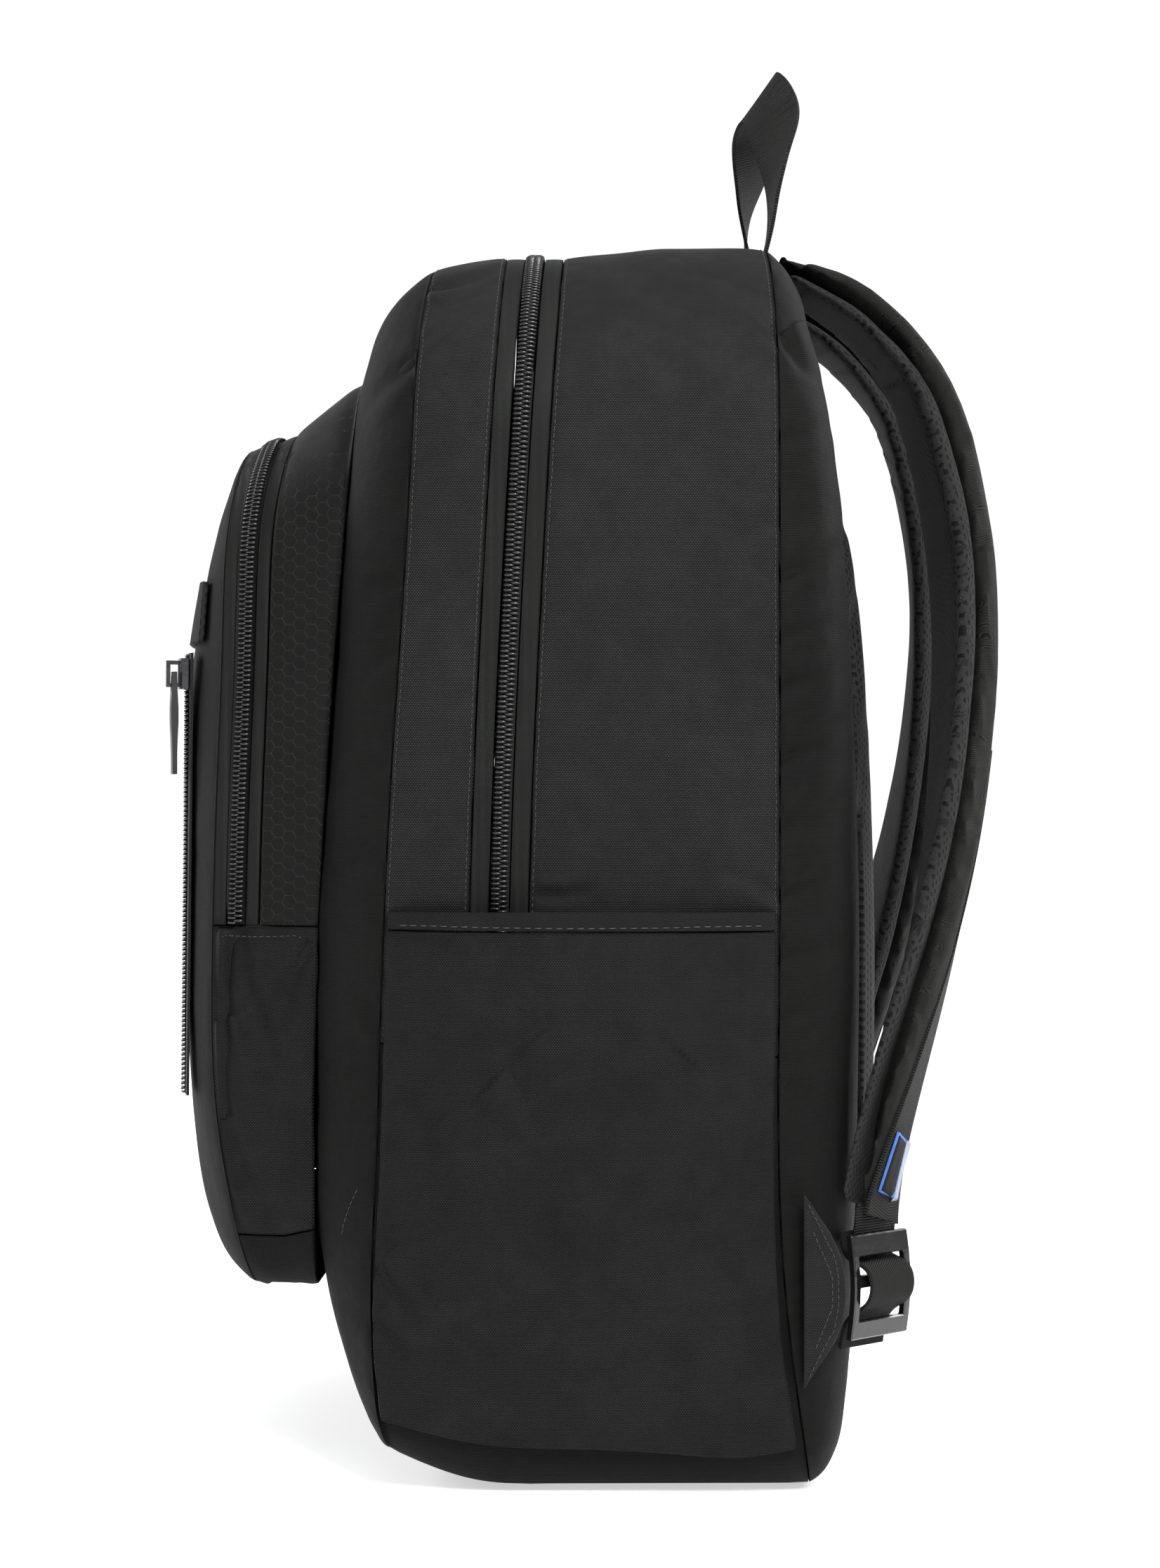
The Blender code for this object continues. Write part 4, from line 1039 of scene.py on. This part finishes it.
def make_label():
    """Folded woven label: a dark field in a coloured border, and the pale back of its fold."""
    cloth = cloth_copy("strap_label", "strap_label_weave", 3, crease=50)
    points = points_of(cloth)
    set_cloth_uv(cloth, points[:, 0], points[:, 2])
    finish_piece(cloth, "strap_right", "label_cloth", "label_edge", "strap_label")
    centre = points.mean(axis=0)
    long_axis, wide_axis, up = np.linalg.svd(points - centre, full_matrices=False)[2]
    up = up * np.sign(up[1])
    along = long_axis if abs(long_axis[2]) > abs(wide_axis[2]) else wide_axis
    along = along * np.sign(along[2])
    across = np.cross(along, up)
    tree = tree_of(cloth)
    half_long = np.abs((points - centre) @ along).max()
    half_wide = np.abs((points - centre) @ across).max()
    patches = (("label_field", "label_cloth", -half_long + LABEL_BORDER, half_long - LABEL_BORDER,
                -half_wide + LABEL_BORDER, half_wide - LABEL_FIELD_EDGE),
               ("label_fold", "label_fold", -half_long, half_long, half_wide - LABEL_FOLD_WIDTH, half_wide))
    rows, columns = 9, 5
    for name, material, low, high, left, right in patches:
        grid = []
        for a in np.linspace(low, high, rows):
            for c in np.linspace(left, right, columns):
                spot = centre + along * a + across * c
                hit = tree.ray_cast(Vector(spot + up * 6 * MM), Vector(-up), 20 * MM)[0] or Vector(spot)
                grid.append(np.array(hit) + up * 0.35 * MM)
        patch = thin_sheet(name, grid, columns, 0.5 * MM)
        flat = points_of(patch)
        set_cloth_uv(patch, flat[:, 0], flat[:, 2])
        finish_piece(patch, "strap_right", "label_cloth", material)


def carry_over():
    """CAD pieces whose shape is right keep it, and take a finished surface."""
    for thing in NODES.values():
        if thing.hide_render or not thing.data.materials:
            continue
        slot = thing.data.materials[0].name
        for name in made_materials:
            if slot.startswith(name):
                thing.material_slots[0].material = look(name)


# --- Studio -----------------------------------------------------------------------------------


def area_light(name, place, target, size, power):
    light = bpy.data.lights.new(name, "AREA")
    light.shape = "RECTANGLE"
    light.size, light.size_y = size
    light.energy = power
    lamp = bpy.data.objects.new(name, light)
    scene.collection.objects.link(lamp)
    lamp.location = place
    lamp.rotation_euler = (Vector(target) - Vector(place)).to_track_quat("-Z", "Y").to_euler()


def make_studio():
    outline = [(x * FLOOR_HALF, y * FLOOR_HALF, FLOOR_Z) for x, y in ((-1, -1), (1, -1), (1, 1), (-1, 1))]
    floor = new_object("studio_floor", outline, [(0, 1, 2, 3)], smooth=False)
    paper = Shader("studio_paper", 0.9, specular=0.1)
    paper.main.inputs["Base Color"].default_value = (0.86, 0.86, 0.86, 1)
    paper.main.inputs["Emission Color"].default_value = (1, 1, 1, 1)
    paper.main.inputs["Emission Strength"].default_value = PAPER_GLOW
    floor.data.materials.append(paper.material)
    world = bpy.data.worlds.new("studio_world")
    world.use_nodes = True
    nodes, links = world.node_tree.nodes, world.node_tree.links
    place = nodes.new("ShaderNodeTexCoord")
    split = nodes.new("ShaderNodeSeparateXYZ")
    ramp = nodes.new("ShaderNodeMapRange")
    ramp.interpolation_type = "SMOOTHSTEP"
    for socket, value in zip(ramp.inputs[1:5], BACKDROP):
        socket.default_value = value
    links.new(place.outputs["Generated"], split.inputs[0])
    links.new(split.outputs[0], ramp.inputs[0])
    links.new(ramp.outputs[0], nodes["Background"].inputs["Strength"])
    nodes["Background"].inputs["Color"].default_value = (0.98, 0.99, 1.0, 1)
    scene.world = world
    for light in LIGHTS:
        area_light(*light)
    sun = bpy.data.lights.new("floor_light", "SUN")
    sun.energy, sun.angle = 1.1, 1.2
    lamp = bpy.data.objects.new("floor_light", sun)
    lamp.rotation_euler = (math.radians(-12), math.radians(18), 0)
    scene.collection.objects.link(lamp)
    scene.view_settings.view_transform = "Standard"


def make_camera():
    """Level side view of the bag's right side."""
    data = bpy.data.cameras.new("camera")
    data.lens = CAMERA_LENS
    data.sensor_width = 36
    camera = bpy.data.objects.new("camera", data)
    camera.location = CAMERA_PLACE
    camera.rotation_euler = (math.radians(90), 0, math.radians(90))
    scene.collection.objects.link(camera)
    scene.camera = camera


make_camera()
make_studio()
make_materials()
panels = shell_panels()
make_coils()
make_stitching(panels)
make_straps()
make_foot_tabs()
make_back_pads()
make_webbing()
make_label()
carry_over()
